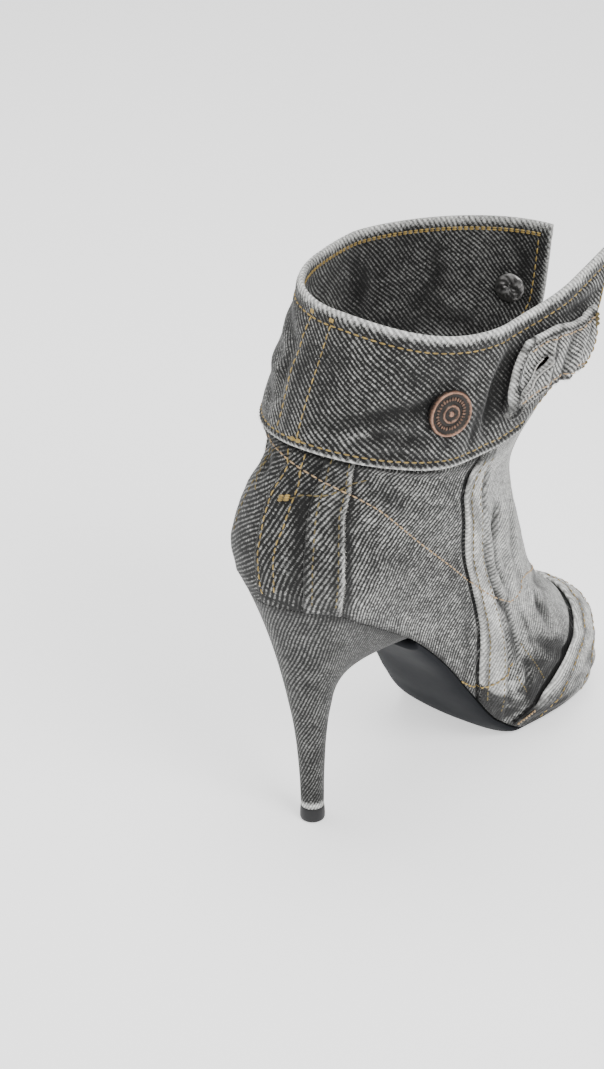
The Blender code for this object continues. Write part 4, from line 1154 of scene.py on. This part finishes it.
def build_tab():
    rim, end_rim = 0.075, 0.04
    up, along = np.broadcast_arrays(edged(76, rim)[:, None], edged(150, end_rim)[None, :])
    ring, q, height = strap_spot(along, up)
    gap, _, _ = slot_distance(along, up)
    hole = gap < 0
    skip = hole[:-1, :-1] & hole[1:, 1:] & hole[1:, :-1] & hole[:-1, 1:]
    lip = np.clip(gap, 0, 1)
    soft = np.minimum(rim_profile(up, rim), rim_profile(along, end_rim))
    soft = np.minimum(soft, np.sqrt(np.clip(1 - (1 - lip) ** 2, 0, 1)))
    rows, cols = skip.shape
    for i in (0, 1):
        for j in (0, 1):
            soft[i:i + rows, j:j + cols][skip] = 0.0
    edge = np.minimum(up, 1 - up)
    back = 1 - along
    rope = 0.13 * np.sin(along * 150 + up * 9) * bell(edge / 0.06)
    welt = 0.45 * bell((edge - 0.05) / 0.035) + 0.9 * bell((back - 0.035) / 0.030)
    seam = -0.45 * bell((edge - 0.13) / 0.022) - 0.40 * bell((back - 0.11) / 0.020)
    folded = height + strap_folds(along, up)
    d = pleat(along, up)
    worn = np.max([bell(edge / 0.038), 0.85 * bell(back / 0.024),
                   0.75 * bell((edge - 0.115) / 0.012) * ease((along - 0.1) / 0.2),
                   0.70 * bell((back - 0.105) / 0.010), 0.80 * bell(gap / 0.35),
                   0.85 * bell(d / 0.010) * ease((0.97 - up) / 0.1)], axis=0)
    # Painted shade in the fold valleys and on the pleat's front side, beside the welts, under the
    # lifted rear corner and round the buttonhole's lip.
    shade = 1 - 0.55 * bell((along - 0.53 + 0.10 * up) / 0.045) * ease(1.4 - up)
    for depth, dark in ((0.45, bell((d + 0.03) / 0.022)),
                        (0.3, bell((along - 0.30 + 0.2 * up) / 0.04)),
                        (0.50, bell((edge - 0.075) / 0.020)),
                        (0.62, bell((back - 0.062) / 0.022)),
                        (0.40, ease((along - 0.86) / 0.1) * ease((0.45 - up) / 0.2)),
                        (0.45, bell((gap - 1.2) / 0.7))):
        shade = shade * (1 - depth * dark)
    layers = dict(cloth=cloth(ring, q, -40.0, FINE_TWILL), tone=0.58 + 0 * ring,
                  contrast=0.70 + 0 * ring, worn=worn, shade=np.clip(shade, 0.12, 1))
    ob = pillow("cuff_tab", ring, q, folded - TAB_WALL, folded + (rope + welt + seam) * MM,
                layers, soft, skip)
    return finish_piece(ob, TWILL_CLOTH, "denim", "adjuster_tab")


# Sole, heel and tip

def ring_loop(loops, name, layers=None):
    """Closed tube through equal loops with a fan at each end."""
    n = len(loops[0])
    points = np.concatenate(list(loops) + [loops[0].mean(0)[None], loops[-1].mean(0)[None]])
    body = quads(len(loops), n, wrap_cols=True)
    tris = np.concatenate([body[:, [0, 1, 2]], body[:, [0, 2, 3]]])
    j = np.arange(n)
    last = (len(loops) - 1) * n
    foot, head = len(points) - 2, len(points) - 1
    fan_low = np.stack([np.full(n, foot), (j + 1) % n, j], -1)
    fan_high = np.stack([np.full(n, head), last + j, last + (j + 1) % n], -1)
    tris = np.concatenate([tris, fan_low, fan_high])
    return mesh_object(name, points, outward(points, tris), layers)


def heel_loops(turn, stem_rows, flare_rows):
    """Level loops up the stem, curved ones out to the breast, and shrinking ones over the seat."""
    keys = STEM["up"]
    loops = []
    for up in keys[0] + (keys[-1] - keys[0]) * np.linspace(0, 1, stem_rows):
        back, front, half = (through(keys, STEM[side], up) * SOLE_WIDTH
                             for side in ("back", "front", "half"))
        fore = (back + front) / 2 - (front - back) / 2 * np.cos(turn)
        z = np.full(len(turn), max(up * SEAT_HEIGHT, TIP_HEIGHT + GAP * 0.2))
        loops.append(np.stack([fore, half * np.sin(turn), z], -1))
    share = BREAST_SHARE * (1 - np.cos(turn)) / 2
    q = np.sign(turn) * np.arccos(1 - 2 * share) / np.pi
    fore, side, _ = sole_edge(q)
    side = side * rounded(np.abs(turn) / np.pi - BREAST_START, BREAST_CAP, BREAST_POWER)

    def seat(f):
        at = (f + HEEL_SETBACK) / FOOT_LENGTH
        return sole_line("up", at) * SEAT_HEIGHT - GAP * steepness(at) * 0.4

    rim = np.stack([fore, side, seat(fore)], -1)
    start = loops[-1]
    lean = loops[-1] - loops[-2]
    pull = start + lean / np.abs(lean[:, 2:3]) * (rim[:, 2:3] - start[:, 2:3]) * FLARE_LIFT
    for w in np.linspace(0, 1, flare_rows)[1:]:
        loops.append((1 - w) ** 2 * start + 2 * w * (1 - w) * pull + w * w * rim)
    centre = np.array([(rim[:, 0].min() + rim[:, 0].max()) / 2, 0.0])
    for k in SEAT_LOOPS:
        flat = centre + (rim[:, :2] - centre) * k
        loops.append(np.column_stack([flat, seat(flat[:, 0])]))
    return loops


def build_heel():
    turn = full_turn(128, -np.pi)
    loops = heel_loops(turn, 90, 70)
    # Painted shade on the stem's sides towards the breast.
    sides = np.exp(-((np.abs(turn) - 2.6) / 0.8) ** 2)
    cloths, shades, worn = [], [], []
    for loop in loops:
        radius = np.hypot(loop[:, 0] - loop[:, 0].mean(), loop[:, 1]).mean() / MM
        u = turn * (5.0 + 0.75 * (radius - 5.0))
        up = loop[:, 2] / SEAT_HEIGHT
        cloths.append(twill(u, loop[:, 2] / MM, 62.0, FINE_TWILL))
        shades.append(1 - 0.25 * bell((up - 0.11) / 0.02) - 0.28 * sides)
        worn.append(np.full(len(turn), 0.85 * bell((up.mean() - 0.068) / 0.016)))
    rim = len(loops) - 1 - len(SEAT_LOOPS)
    # Painted shade on the top loops of the flare, under the seat's rim.
    for back in range(1, 7):
        shades[rim - back] = shades[rim - back] * (0.55 + 0.07 * back)
    shade = np.clip(np.concatenate([*shades, [0.7, 0.7]]), 0.2, 1)
    ends = [cloths[0].mean(0)[None], cloths[-1].mean(0)[None]]
    layers = dict(cloth=np.concatenate([*cloths, *ends]),
                  tone=np.full(len(shade), 0.31), contrast=np.full(len(shade), 0.52),
                  worn=np.concatenate([*worn, [0, 0]]), shade=shade)
    ob = ring_loop([place(*loop.T) for loop in loops], "covered_heel", layers)
    return finish_piece(ob, TWILL_CLOTH, "denim", "heel")


def build_tip():
    turn = full_turn(96)
    circle = np.stack([np.cos(turn), np.sin(turn), 0 * turn], -1) * (TIP_SHARE * SOLE_WIDTH)
    profile = [(0.90, 0.0), (0.955, 0.03), (0.985, 0.10), (1.0, 0.30), (0.985, 0.60), (0.955, 0.85),
               (0.93, 0.95), (0.89, 1.0)]
    loops = [circle * share + np.array([0, 0, up * TIP_HEIGHT]) for share, up in profile]
    ob = ring_loop(loops, "heel_top_piece")
    return finish_piece(ob, TIP_BLACK, "black_rubber", "heel_tip")


LEAST_HALF = 0.35 * MM      # half width left at the ends of a slab


def slab(name, outline, share, inset, lift, thick, rim, across, belly=0.0):
    """Slab along the sole line with rounded edges; its belly hangs under the arch, above ground."""
    q = np.arccos(np.clip(1 - 2 * outline, -1, 1)) / np.pi
    lat = np.maximum(sole_edge(q)[1] - inset, LEAST_HALF)
    med = np.minimum(sole_edge(-q)[1] + inset, -LEAST_HALF)
    w = edged(across, rim)[:, None]
    soft = rim_profile(w, rim)
    side = lat + (med - lat) * w
    k = steepness(share)
    fore = np.broadcast_to(share * FOOT_LENGTH - HEEL_SETBACK, side.shape)
    base = sole_line("up", share) * SEAT_HEIGHT + lift * k
    middle = 1 - (2 * w - 1) ** 2
    low = base + thick * k * (0.22 * (1 - soft) + 0.45 * (1 - middle) ** 4 * (belly > 0))
    hang = belly * middle * bell((share - 0.56) / 0.15)
    low = np.where(hang > 0, np.maximum(low - hang, np.minimum(low, 0.0)), low)
    high = base + thick * k * (1 - 0.22 * (1 - soft))
    grid = np.concatenate([place(fore, side, high), place(fore, side, low)[::-1]])
    rows, cols = grid.shape[:2]
    foot = np.arange(rows) * cols
    i = np.arange(len(w) - 1)
    cap = np.stack([foot[i], foot[i + 1], foot[rows - 2 - i], foot[rows - 1 - i]], -1)
    faces = np.concatenate([quads(rows, cols, wrap_rows=True), cap, cap[:, ::-1] + cols - 1])
    points = grid.reshape(-1, 3)
    return mesh_object(name, points, outward(points, faces))


def build_outsole():
    tread = sole_line("up", BALL_SHARE) * SEAT_HEIGHT
    start = BREAST_SHARE + SEAT_STEP
    share = start + (1 - start) * np.sin(np.linspace(0, 1, 180) * np.pi / 2)
    thick = tread - GAP * 0.4
    ob = slab("outsole_black", share, share, 0.0, -tread, thick, 0.02, 40, belly=2.8 * MM)
    return finish_piece(ob, SOLE_BLACK, "sole_black", "outsole")


def build_insole():
    share = (1 - np.cos(np.linspace(0, 1, 160) * np.pi)) / 2
    edge = WALL + 4 * GAP
    first, last = edge * 1.3 / FOOT_LENGTH, 1 - edge / FOOT_LENGTH
    inner = first + (last - first) * share
    ob = slab("insole_sock", share, inner, edge, GAP / 2, INSOLE_WALL, 0.04, 20)
    return finish_piece(ob, INSOLE_CLOTH, "insole_lining", "insole")


# Stitches and cut fibres

STITCH_LENGTH = 2.7
STITCH_GAP = 0.55
STITCH_WIDE = 0.62


def surface_path(ring, q, height):
    p = lifted(ring, q, height)
    n = normal(ring, q)
    return p, place(n[:, 0], n[:, 1], n[:, 2])


def stitches(name, lines, material, length=STITCH_LENGTH, gap=STITCH_GAP, wide=STITCH_WIDE):
    """Sewn rows: every line is world points with normals; each stitch dips in at both ends."""
    points, faces, tints = [], [], []
    sides, parts = 6, 5
    pitch = length + gap
    arch = np.sin(np.linspace(0, np.pi, parts))
    rise = (arch * 0.42 - 0.12) * wide * MM
    fat = (0.35 + 0.65 * arch ** 0.5) * wide / 2 * MM
    turn = full_turn(sides)[None, :, None]
    last = (parts - 1) * sides
    caps = [[0, 3, 2, 1], [0, 5, 4, 3], [last, last + 1, last + 2, last + 3],
            [last, last + 3, last + 4, last + 5]]
    body = np.concatenate([quads(parts, sides, wrap_cols=True), caps])
    for p, n in lines:
        s = run_length(p) / MM
        for i in range(int(s[-1] // pitch)):
            at = (i + np.linspace(0.04, 0.96, parts) * length / pitch) * pitch
            c, up = (np.stack([np.interp(at, s, column) for column in rows.T], -1)
                     for rows in (p, n))
            up /= np.linalg.norm(up, axis=1, keepdims=True)
            ahead = np.gradient(c, axis=0)
            ahead /= np.linalg.norm(ahead, axis=1, keepdims=True)
            side = np.cross(ahead, up)
            c = c + up * rise[:, None]
            loop = np.cos(turn) * side[:, None] + np.sin(turn) * up[:, None] * 0.75
            faces.append(body + len(points) * parts * sides)
            points.append((c[:, None] + loop * fat[:, None, None]).reshape(-1, 3))
            tints.append(np.full(parts * sides, rng.random()))
    layers = dict(tint=np.concatenate(tints))
    ob = mesh_object(name, np.concatenate(points), np.concatenate(faces), layers)
    return finish_piece(ob, material, "denim")


def on_strips(ring, q):
    """Height of the seam strips at a place, in metres."""
    height = np.zeros(ring.shape)
    for row in STRIPS:
        near, far = seam_q(row, ring), strip_far(row, ring)
        low, high = np.minimum(near, far), np.maximum(near, far)
        inside = ease((q - low) / 0.006 + 0.5) * ease((high - q) / 0.006 + 0.5)
        height = np.maximum(height, inside * (STRIP_WALL + 0.75 * MM))
    return height


def upper_line(points, lift=0.0, count=160):
    """Line over the upper and its seam strips through (ring, q) points."""
    ring, q = route(points, count)
    relief, _ = upper_relief(ring, q)
    groove, _ = seam_groove(ring, q)
    over = on_strips(ring, q)
    return surface_path(ring, q, relief - groove * (over > 0) + over + lift)


def strip_line(row, share, low=0.25, high=6.9, count=220):
    """Line down a seam strip at a share of its width."""
    ring = np.linspace(high, low, count)
    q = seam_q(row, ring) + (strip_far(row, ring) - seam_q(row, ring)) * share
    top = STRIP_WALL + 0.35 * MM * math.sin(math.pi * share) + 0.30 * MM
    return surface_path(ring, q, relief_under_seams(ring, q) + top)


def strip_pair(number, shares, high=6.9):
    return [strip_line(STRIPS[number], share, high=high) for share in shares]


def cuff_line(ring, q, inside=False):
    """Line on the outer or the inner face of the cuff."""
    relief, _ = cuff_relief(ring, q)
    if inside:
        p, n = surface_path(ring, q, GAP + relief * LINING_RELIEF)
        return p, -n
    return surface_path(ring, q, GAP + CUFF_FACE + relief + cuff_seam(*cuff_edges(ring)))


def cuff_path(points, count):
    return cuff_line(*route(points, count))


def build_stitches():
    """Every sewn row of the upper, the hem and the cuff, one piece for each kind of row."""
    stitches("back_rows", [
        upper_line([(6.7, -0.030), (6.08, -0.020), (5.12, 0.002), (3.75, -0.004), (2.62, -0.004),
                    (0.7, -0.001), (0.45, 0.004)]),
        upper_line([(6.75, 0.034), (6.45, 0.038), (5.38, 0.045), (4.5, 0.061), (3.83, 0.058),
                    (3.18, 0.051), (2.65, 0.041), (1.8, 0.038), (0.6, 0.038)]),
    ], GOLD)
    stitches("back_crossings", [
        upper_line([(6.5, -0.065), (5.5, -0.105), (4.6, -0.095), (4.05, -0.063), (3.85, -0.045)]),
        upper_line([(6.6, -0.125), (5.4, -0.120), (4.3, -0.098), (3.4, -0.110), (2.2, -0.112)]),
        upper_line([(4.05, 0.028), (4.23, 0.058), (4.38, 0.074), (4.53, 0.110), (4.73, 0.142),
                    (5.25, 0.175), (5.62, 0.210), (5.95, 0.249)]),
    ], OLIVE)
    bars = [[(4.05 + up, 0.020), (4.20 + up, 0.052)] for up in (-0.05, 0.02, 0.09)]
    bars += [[(5.38 + up, 0.046), (5.02 + up, 0.052)] for up in (0.0, 0.06)]
    stitches("back_bartacks", [upper_line(bar, lift=0.1 * MM, count=20) for bar in bars], GOLD,
             length=2.2, gap=0.1, wide=0.95)
    curve = [(6.6, -0.16), (5.88, -0.027), (5.5, 0.041), (5.18, 0.110), (5.0, 0.165), (4.83, 0.217),
             (4.67, 0.262), (3.73, 0.422), (3.35, 0.487), (3.2, 0.532), (3.18, 0.578), (3.43, 0.630),
             (3.88, 0.704), (4.1, 0.906)]
    inner = [(5.6, -0.21)] + [(r, -q) for r, q in curve[6:]]
    stitches("instep_curve", [upper_line(curve, lift=0.05 * MM, count=420)], SAND)
    stitches("instep_curve_inner", [upper_line(inner, lift=0.15 * MM, count=320)], SAND)
    stitches("side_strip_rows", strip_pair(0, (0.22, 0.82)), OLIVE)
    stitches("inner_strip_rows", strip_pair(1, (0.20, 0.80)), GOLD)
    stitches("quarter_rows", strip_pair(2, (0.30, 0.85), 6.7), OLIVE)
    stitches("inner_quarter_rows", strip_pair(3, (0.30, 0.85), 6.7), OLIVE)
    crossing = [(0.0, 0.470), (0.33, 0.490), (0.95, 0.509), (1.28, 0.526), (1.6, 0.542), (1.9, 0.554)]
    stitches("seam_crossing", [upper_line(crossing, lift=0.1 * MM, count=80)], GOLD,
             length=2.2, gap=0.2, wide=0.8)
    stitches("vamp_rows", [upper_line([(2.30, 0.571), (1.98, 0.591), (1.45, 0.617)]),
                           upper_line([(1.60, 0.561), (1.4, 0.578), (1.25, 0.587)])], OLIVE,
             length=2.0)
    hem = []
    turn = np.linspace(-1, 1, 320) * BAND_SWEEP * np.pi / 2
    for share in (0.30, 0.80):
        height = LAID + BAND_WALL + hem_fold(share) * HEM_PUFF * MM
        hem.append(surface_path(*hem_place(share, turn), np.full(len(turn), height)))
    stitches("hem_rows", hem, GOLD, length=2.4)
    turn = np.linspace(0.80, BAND_SWEEP, 120) * np.pi / 2
    ring, q = BAND_SEAM["ring"] * 0.985 * np.cos(turn), 1 - BAND_SEAM["reach"] * np.sin(turn)
    edge = [surface_path(ring, side * q, np.full(len(turn), LAID + 1.3 * MM)) for side in (1, -1)]
    stitches("hem_worn_edge", edge, SAND, length=1.3, gap=0.1, wide=1.0)
    for name, level, count in (("cuff_top_row", 8.80, 420), ("cuff_low_row", 7.16, 380)):
        q = np.linspace(-0.985, cuff_front(level) * 0.985, count)
        stitches(name, [cuff_line(np.full(count, level), q)], GOLD)
    stitches("cuff_back_rows", [cuff_path([(8.95, -0.078), (8.0, -0.080), (7.1, -0.074)], 80),
                                cuff_path([(8.95, -0.008), (8.0, -0.007), (7.1, 0.003)], 80)], GOLD)
    tacks = [cuff_path([(8.93, at), (8.74, at)], 12)
             for at in (-0.082, -0.078, -0.074, -0.012, -0.008, -0.004)]
    tacks += [cuff_path([(7.15 + up, -0.02), (7.14 + up, 0.035)], 20) for up in (0.0, 0.02, 0.04)]
    stitches("cuff_bartacks", tacks, GOLD, length=2.4, gap=0.1, wide=0.9)
    q = np.linspace(-0.97, 0.95, 420)
    chain = [cuff_line(np.full(len(q), level), q, inside=True) for level in (8.885, 8.858)]
    stitches("cuff_inside_chain", chain, GOLD, length=1.9, gap=0.25, wide=0.7)
    flap, q = np.linspace(8.8, 7.15, 120), np.full(120, -0.965)
    stitches("flap_end_row", [cuff_line(flap, q), cuff_line(flap, q, inside=True)], GOLD)
    ends = np.linspace(8.8, 7.2, 120)
    stitches("front_end_row", [cuff_line(ends, cuff_front(ends) * 0.962)], GOLD)


def tab_line(points, count=120):
    """Line on the outside of the strap through (share along, share up) points."""
    along, up = route(points, count)
    ring, q, height = strap_spot(along, up)
    return surface_path(ring, q, height + strap_folds(along, up))


def build_tab_stitches():
    rows = [tab_line([(0.06, up), (0.5, up), (0.93, up)]) for up in (0.86, 0.14)]
    stitches("tab_rows", rows, SAND)
    bars = [tab_line([(0.015 + 0.016 * i, low), (0.015 + 0.016 * i, high)], count)
            for low, high, count in ((0.70, 0.97, 40), (0.04, 0.16, 20)) for i in range(4)]
    stitches("tab_bartack", bars, OLIVE, length=1.6, gap=0.1, wide=1.0)
    stitches("tab_end_row", [tab_line([(0.03, 0.16), (0.03, 0.70)], 40)], GOLD)
    spokes = []
    slot = SLOT_TO - SLOT_FROM
    across = np.array([slot[1] * STRAP_SIZE[1], -slot[0] * STRAP_SIZE[0]])
    across = across / np.hypot(*across) / STRAP_SIZE
    for side in (-1, 1):
        for t in np.linspace(0.0, 1.0, 30):
            middle, half = SLOT_FROM + slot * t, slot_half(t)
            ends = [middle + across * side * (half + off) for off in (0.35, 1.55)]
            spokes.append(tab_line(ends, 6))
    stitches("buttonhole", spokes, FLUFF, length=1.1, gap=0.02, wide=0.5)


def fray(name, lines, count, reach, material, wide=0.10):
    """Loose fibres standing off worn edges: slim curved slips of cloth fibre."""
    points, faces, tints = [], [], []
    base = 0
    for p, n in lines:
        s = run_length(p)
        for at in rng.uniform(0, s[-1], count):
            c, up = (np.array([np.interp(at, s, column) for column in rows.T]) for rows in (p, n))
            lean = up + 0.75 * rng.normal(size=3)
            lean /= np.linalg.norm(lean)
            side = np.cross(lean, rng.normal(size=3))
            side /= np.linalg.norm(side)
            long = reach * MM * rng.uniform(0.35, 1.0)
            bend = np.cross(lean, side) * long * rng.uniform(-0.4, 0.4)
            half = side * wide * MM / 2
            mid = c + lean * long * 0.55 + bend * 0.6
            tip = c + lean * long + bend * 0.4
            points += [c - half, c + half, mid + half * 0.8, mid - half * 0.8, tip]
            faces += [(base, base + 1, base + 2), (base, base + 2, base + 3),
                      (base + 3, base + 2, base + 4)]
            tints += [rng.random()] * 5
            base += 5
    ob = mesh_object(name, np.array(points), np.array(faces), dict(tint=np.array(tints)))
    return finish_piece(ob, material, "denim")


def build_fray():
    w = np.linspace(-1, 0.999, 500)
    edge = []
    for level, lift in ((CUFF_TOP, 0.55), (CUFF_TOP, 0.2), (CUFF_LOW, 0.6), (CUFF_LOW, 0.9)):
        ring, q = np.full(len(w), level), -1 + (cuff_front(level) + 1) * (w + 1) / 2
        edge.append(surface_path(ring, q, GAP + CUFF_WALL * lift + cuff_relief(ring, q)[0]))
    fray("cuff_edge_fibres", edge, 500, 1.1, FLUFF)
    edges = [strip_line(STRIPS[number], share)
             for number, share in ((0, 0.99), (1, 0.99), (1, 0.01), (2, 0.02), (3, 0.02))]
    fray("seam_edge_fibres", edges, 260, 0.9, FLUFF)
    edges = [[(0.05, 0.99), (0.5, 0.99), (0.97, 0.97)], [(0.05, 0.01), (0.97, 0.02)],
             [(0.985, 0.05), (0.985, 0.95)]]
    fray("tab_edge_fibres", [tab_line(edge) for edge in edges], 160, 1.0, FLUFF)


# Buttons

def on_surface(spot, height):
    """World point over a named spot of the cuff, and the way it faces."""
    n = normal(spot["ring"], spot["q"])
    return lifted(spot["ring"], spot["q"], height), place(n[..., 0], n[..., 1], n[..., 2])


def axes_of(axis):
    axis = np.asarray(axis) / np.linalg.norm(axis)
    side = np.cross(axis, [0.0, 0.0, 1.0])
    side = side / np.linalg.norm(side)
    return side, np.cross(axis, side), axis


# Profile of a button from its middle to its foot: radius share, height share, how bright
# the copper is there.
BUTTON_FORM = [
    (0.05, 0.95, 0.9), (0.1, 0.92, 0.85), (0.14, 0.74, 0.15), (0.2, 0.7, 0.25), (0.27, 0.72, 0.2),
    (0.31, 0.86, 0.55), (0.36, 0.92, 0.85), (0.4, 0.86, 0.5), (0.43, 0.68, 0.1), (0.5, 0.64, 0.2),
    (0.6, 0.65, 0.22), (0.74, 0.66, 0.15), (0.83, 0.7, 0.15), (0.87, 0.84, 0.55),
    (0.92, 0.94, 1.0), (0.96, 0.88, 0.85), (0.99, 0.66, 0.5), (1.0, 0.45, 0.35),
    (0.98, 0.22, 0.3), (0.92, 0.08, 0.2), (0.6, 0.0, 0.1),
]


def turned_points(profile, base, axis, radius, height, steps):
    side, other, out = axes_of(axis)
    turn = full_turn(steps)[:, None]
    circle = np.cos(turn) * side + np.sin(turn) * other
    return [np.asarray(base) + circle * radius * r + out * height * h for r, h in profile]


def build_button(name, node, base, axis, radius=BUTTON_RADIUS, height=BUTTON_HEIGHT):
    """Jeans button: rolled rim, beaded field, raised ring and centre pip."""
    steps, beads, levels, sides = 96, 30, 5, 8
    profile = [(r, h) for r, h, _ in BUTTON_FORM]
    raised = np.concatenate([np.repeat([c for _, _, c in BUTTON_FORM], steps), [0.85, 0.1]])
    loops = turned_points(profile, base, axis, radius, height, steps)
    finish_piece(ring_loop(loops, name, dict(raised=raised)), COPPER, "antique_copper", node)
    side, other, out = axes_of(axis)
    points, light = [], []
    turn = full_turn(sides)[:, None]
    for a in full_turn(beads):
        away = math.cos(a) * side + math.sin(a) * other
        along = -math.sin(a) * side + math.cos(a) * other
        spot = np.asarray(base) + away * radius * 0.635 + out * height * 0.66
        for lat in np.linspace(-0.2, np.pi / 2 - 0.12, levels):
            flat = (np.cos(turn) * along * 0.55 + np.sin(turn) * away * 0.95) * math.cos(lat) * MM
            points.append(spot + flat + out * math.sin(lat) * 0.42 * MM)
            light.append(np.full(sides, 0.22 + 0.4 * max(0.0, math.sin(lat))))
    top = (levels - 1) * sides
    cap = np.array([[0, 1, 2, 3], [0, 3, 4, 7], [4, 5, 6, 7]]) + top
    bead = np.concatenate([quads(levels, sides, wrap_cols=True), cap])
    faces = np.concatenate([bead + i * levels * sides for i in range(beads)])
    layers = dict(raised=np.concatenate(light))
    ob = mesh_object(name + "_beads", np.concatenate(points), faces, layers)
    finish_piece(ob, COPPER, "antique_copper")


def build_tack():
    """Crumpled metal back of the closure button, inside the flap."""
    base, axis = on_surface(FLAP_BUTTON, -TACK_SINK + 0.75 * MM)
    profile = [(0.06, 0.62), (0.20, 0.78), (0.34, 0.95), (0.50, 1.0), (0.66, 0.92), (0.82, 0.80),
               (0.95, 0.60), (1.0, 0.35), (0.97, 0.10), (0.7, 0.0)]
    steps = 64
    loops = turned_points(profile, base, -np.asarray(axis), TACK_RADIUS * 1.2, TACK_HEIGHT, steps)
    _, _, out = axes_of(-np.asarray(axis))
    turn = full_turn(steps)
    for i, loop in enumerate(loops):
        dent = 0.22 * np.sin(turn * 5 + i) + 0.14 * np.sin(turn * 9 - 2 * i)
        loops[i] = loop + out * (dent * MM * bell((i - 4) / 3))[:, None]
    ob = ring_loop(loops, "tack_plate")
    return finish_piece(ob, TACK_METAL, "tack_metal", "tack_back")


# Stage: floor, light and camera

WORLD_LIGHT = 0.68
FLOOR_GLOW = 0.9
# Lamps: name, power, size and place; all aim at the middle of the boot.
LAMPS = [
    ("key_light", 13.0, 0.6, (-0.95, 0.15, 1.00)),
    ("top_light", 11.0, 0.9, (0.15, -0.15, 1.35)),
    ("side_light", 3.5, 0.8, (0.95, 0.35, 0.55)),
]
LAMP_AIM = (0.0, -0.07, 0.10)
# Camera as matched to the photograph: picture height and focal length in its pixels, then
# where it stands and the directions of its right and upper side.
PHOTO_HEIGHT = 1069
FOCAL_PIXELS = 2440.0
SENSOR = 36.0
CAMERA_PLACE = (-0.50296, 0.60577, 0.54277)
CAMERA_RIGHT = (-0.76604, -0.64279, 0.0)
CAMERA_UP = (0.30177, -0.35963, 0.88295)


def build_stage():
    bpy.ops.mesh.primitive_plane_add(size=6.0, location=(0, 0, -0.0002))
    floor = bpy.context.object
    floor.name = "floor"
    look = Look("pale_floor", 0.9)
    look.set({"Base Color": (0.95, 0.95, 0.95, 1.0), "Emission Color": (1.0, 1.0, 1.0, 1.0),
              "Emission Strength": FLOOR_GLOW, "Specular IOR Level": 0.1})
    floor.data.materials.append(look.material)
    world = bpy.data.worlds.new("studio")
    bpy.context.scene.world = world
    world.use_nodes = True
    sky = world.node_tree.nodes["Background"]
    sky.inputs[0].default_value = (1.0, 1.0, 1.0, 1.0)
    sky.inputs[1].default_value = WORLD_LIGHT
    for name, power, size, spot in LAMPS:
        lamp = bpy.data.lights.new(name, "AREA")
        lamp.energy = power
        lamp.size = size
        ob = bpy.data.objects.new(name, lamp)
        bpy.context.scene.collection.objects.link(ob)
        ob.location = spot
        aim = Vector(LAMP_AIM) - Vector(spot)
        ob.rotation_euler = aim.to_track_quat("-Z", "Y").to_euler()


def build_camera():
    data = bpy.data.cameras.new("camera")
    data.sensor_fit = "AUTO"
    data.sensor_width = SENSOR
    data.lens = SENSOR * FOCAL_PIXELS / PHOTO_HEIGHT
    data.clip_start = 0.01
    camera = bpy.data.objects.new("camera", data)
    bpy.context.scene.collection.objects.link(camera)
    right, up = Vector(CAMERA_RIGHT), Vector(CAMERA_UP)
    turn = Matrix((right, up, right.cross(up))).transposed()
    camera.matrix_world = Matrix.Translation(Vector(CAMERA_PLACE)) @ turn.to_4x4()
    bpy.context.scene.camera = camera


build_camera()
build_stage()
build_upper()
build_strip(STRIPS[0], 0.38, 0.66, 1.0)
build_strip(STRIPS[1], 0.40, 0.66, 1.0)
build_strip(STRIPS[2], 0.74, 0.40, 0.0)
build_strip(STRIPS[3], 0.74, 0.40, 0.0)
build_band()
build_cuff()
build_tab()
build_heel()
build_tip()
build_outsole()
build_insole()
build_stitches()
build_tab_stitches()
build_fray()
button_foot = GAP + CUFF_WALL + 0.3 * MM
build_button("side_button", "button", *on_surface(SIDE_BUTTON, button_foot))
build_button("flap_button", "closure_button", *on_surface(FLAP_BUTTON, button_foot))
build_button("button_under_strap", "strap_button", *on_surface(STRAP_BUTTON, button_foot),
             UNDER_RADIUS, UNDER_HEIGHT)
build_tack()
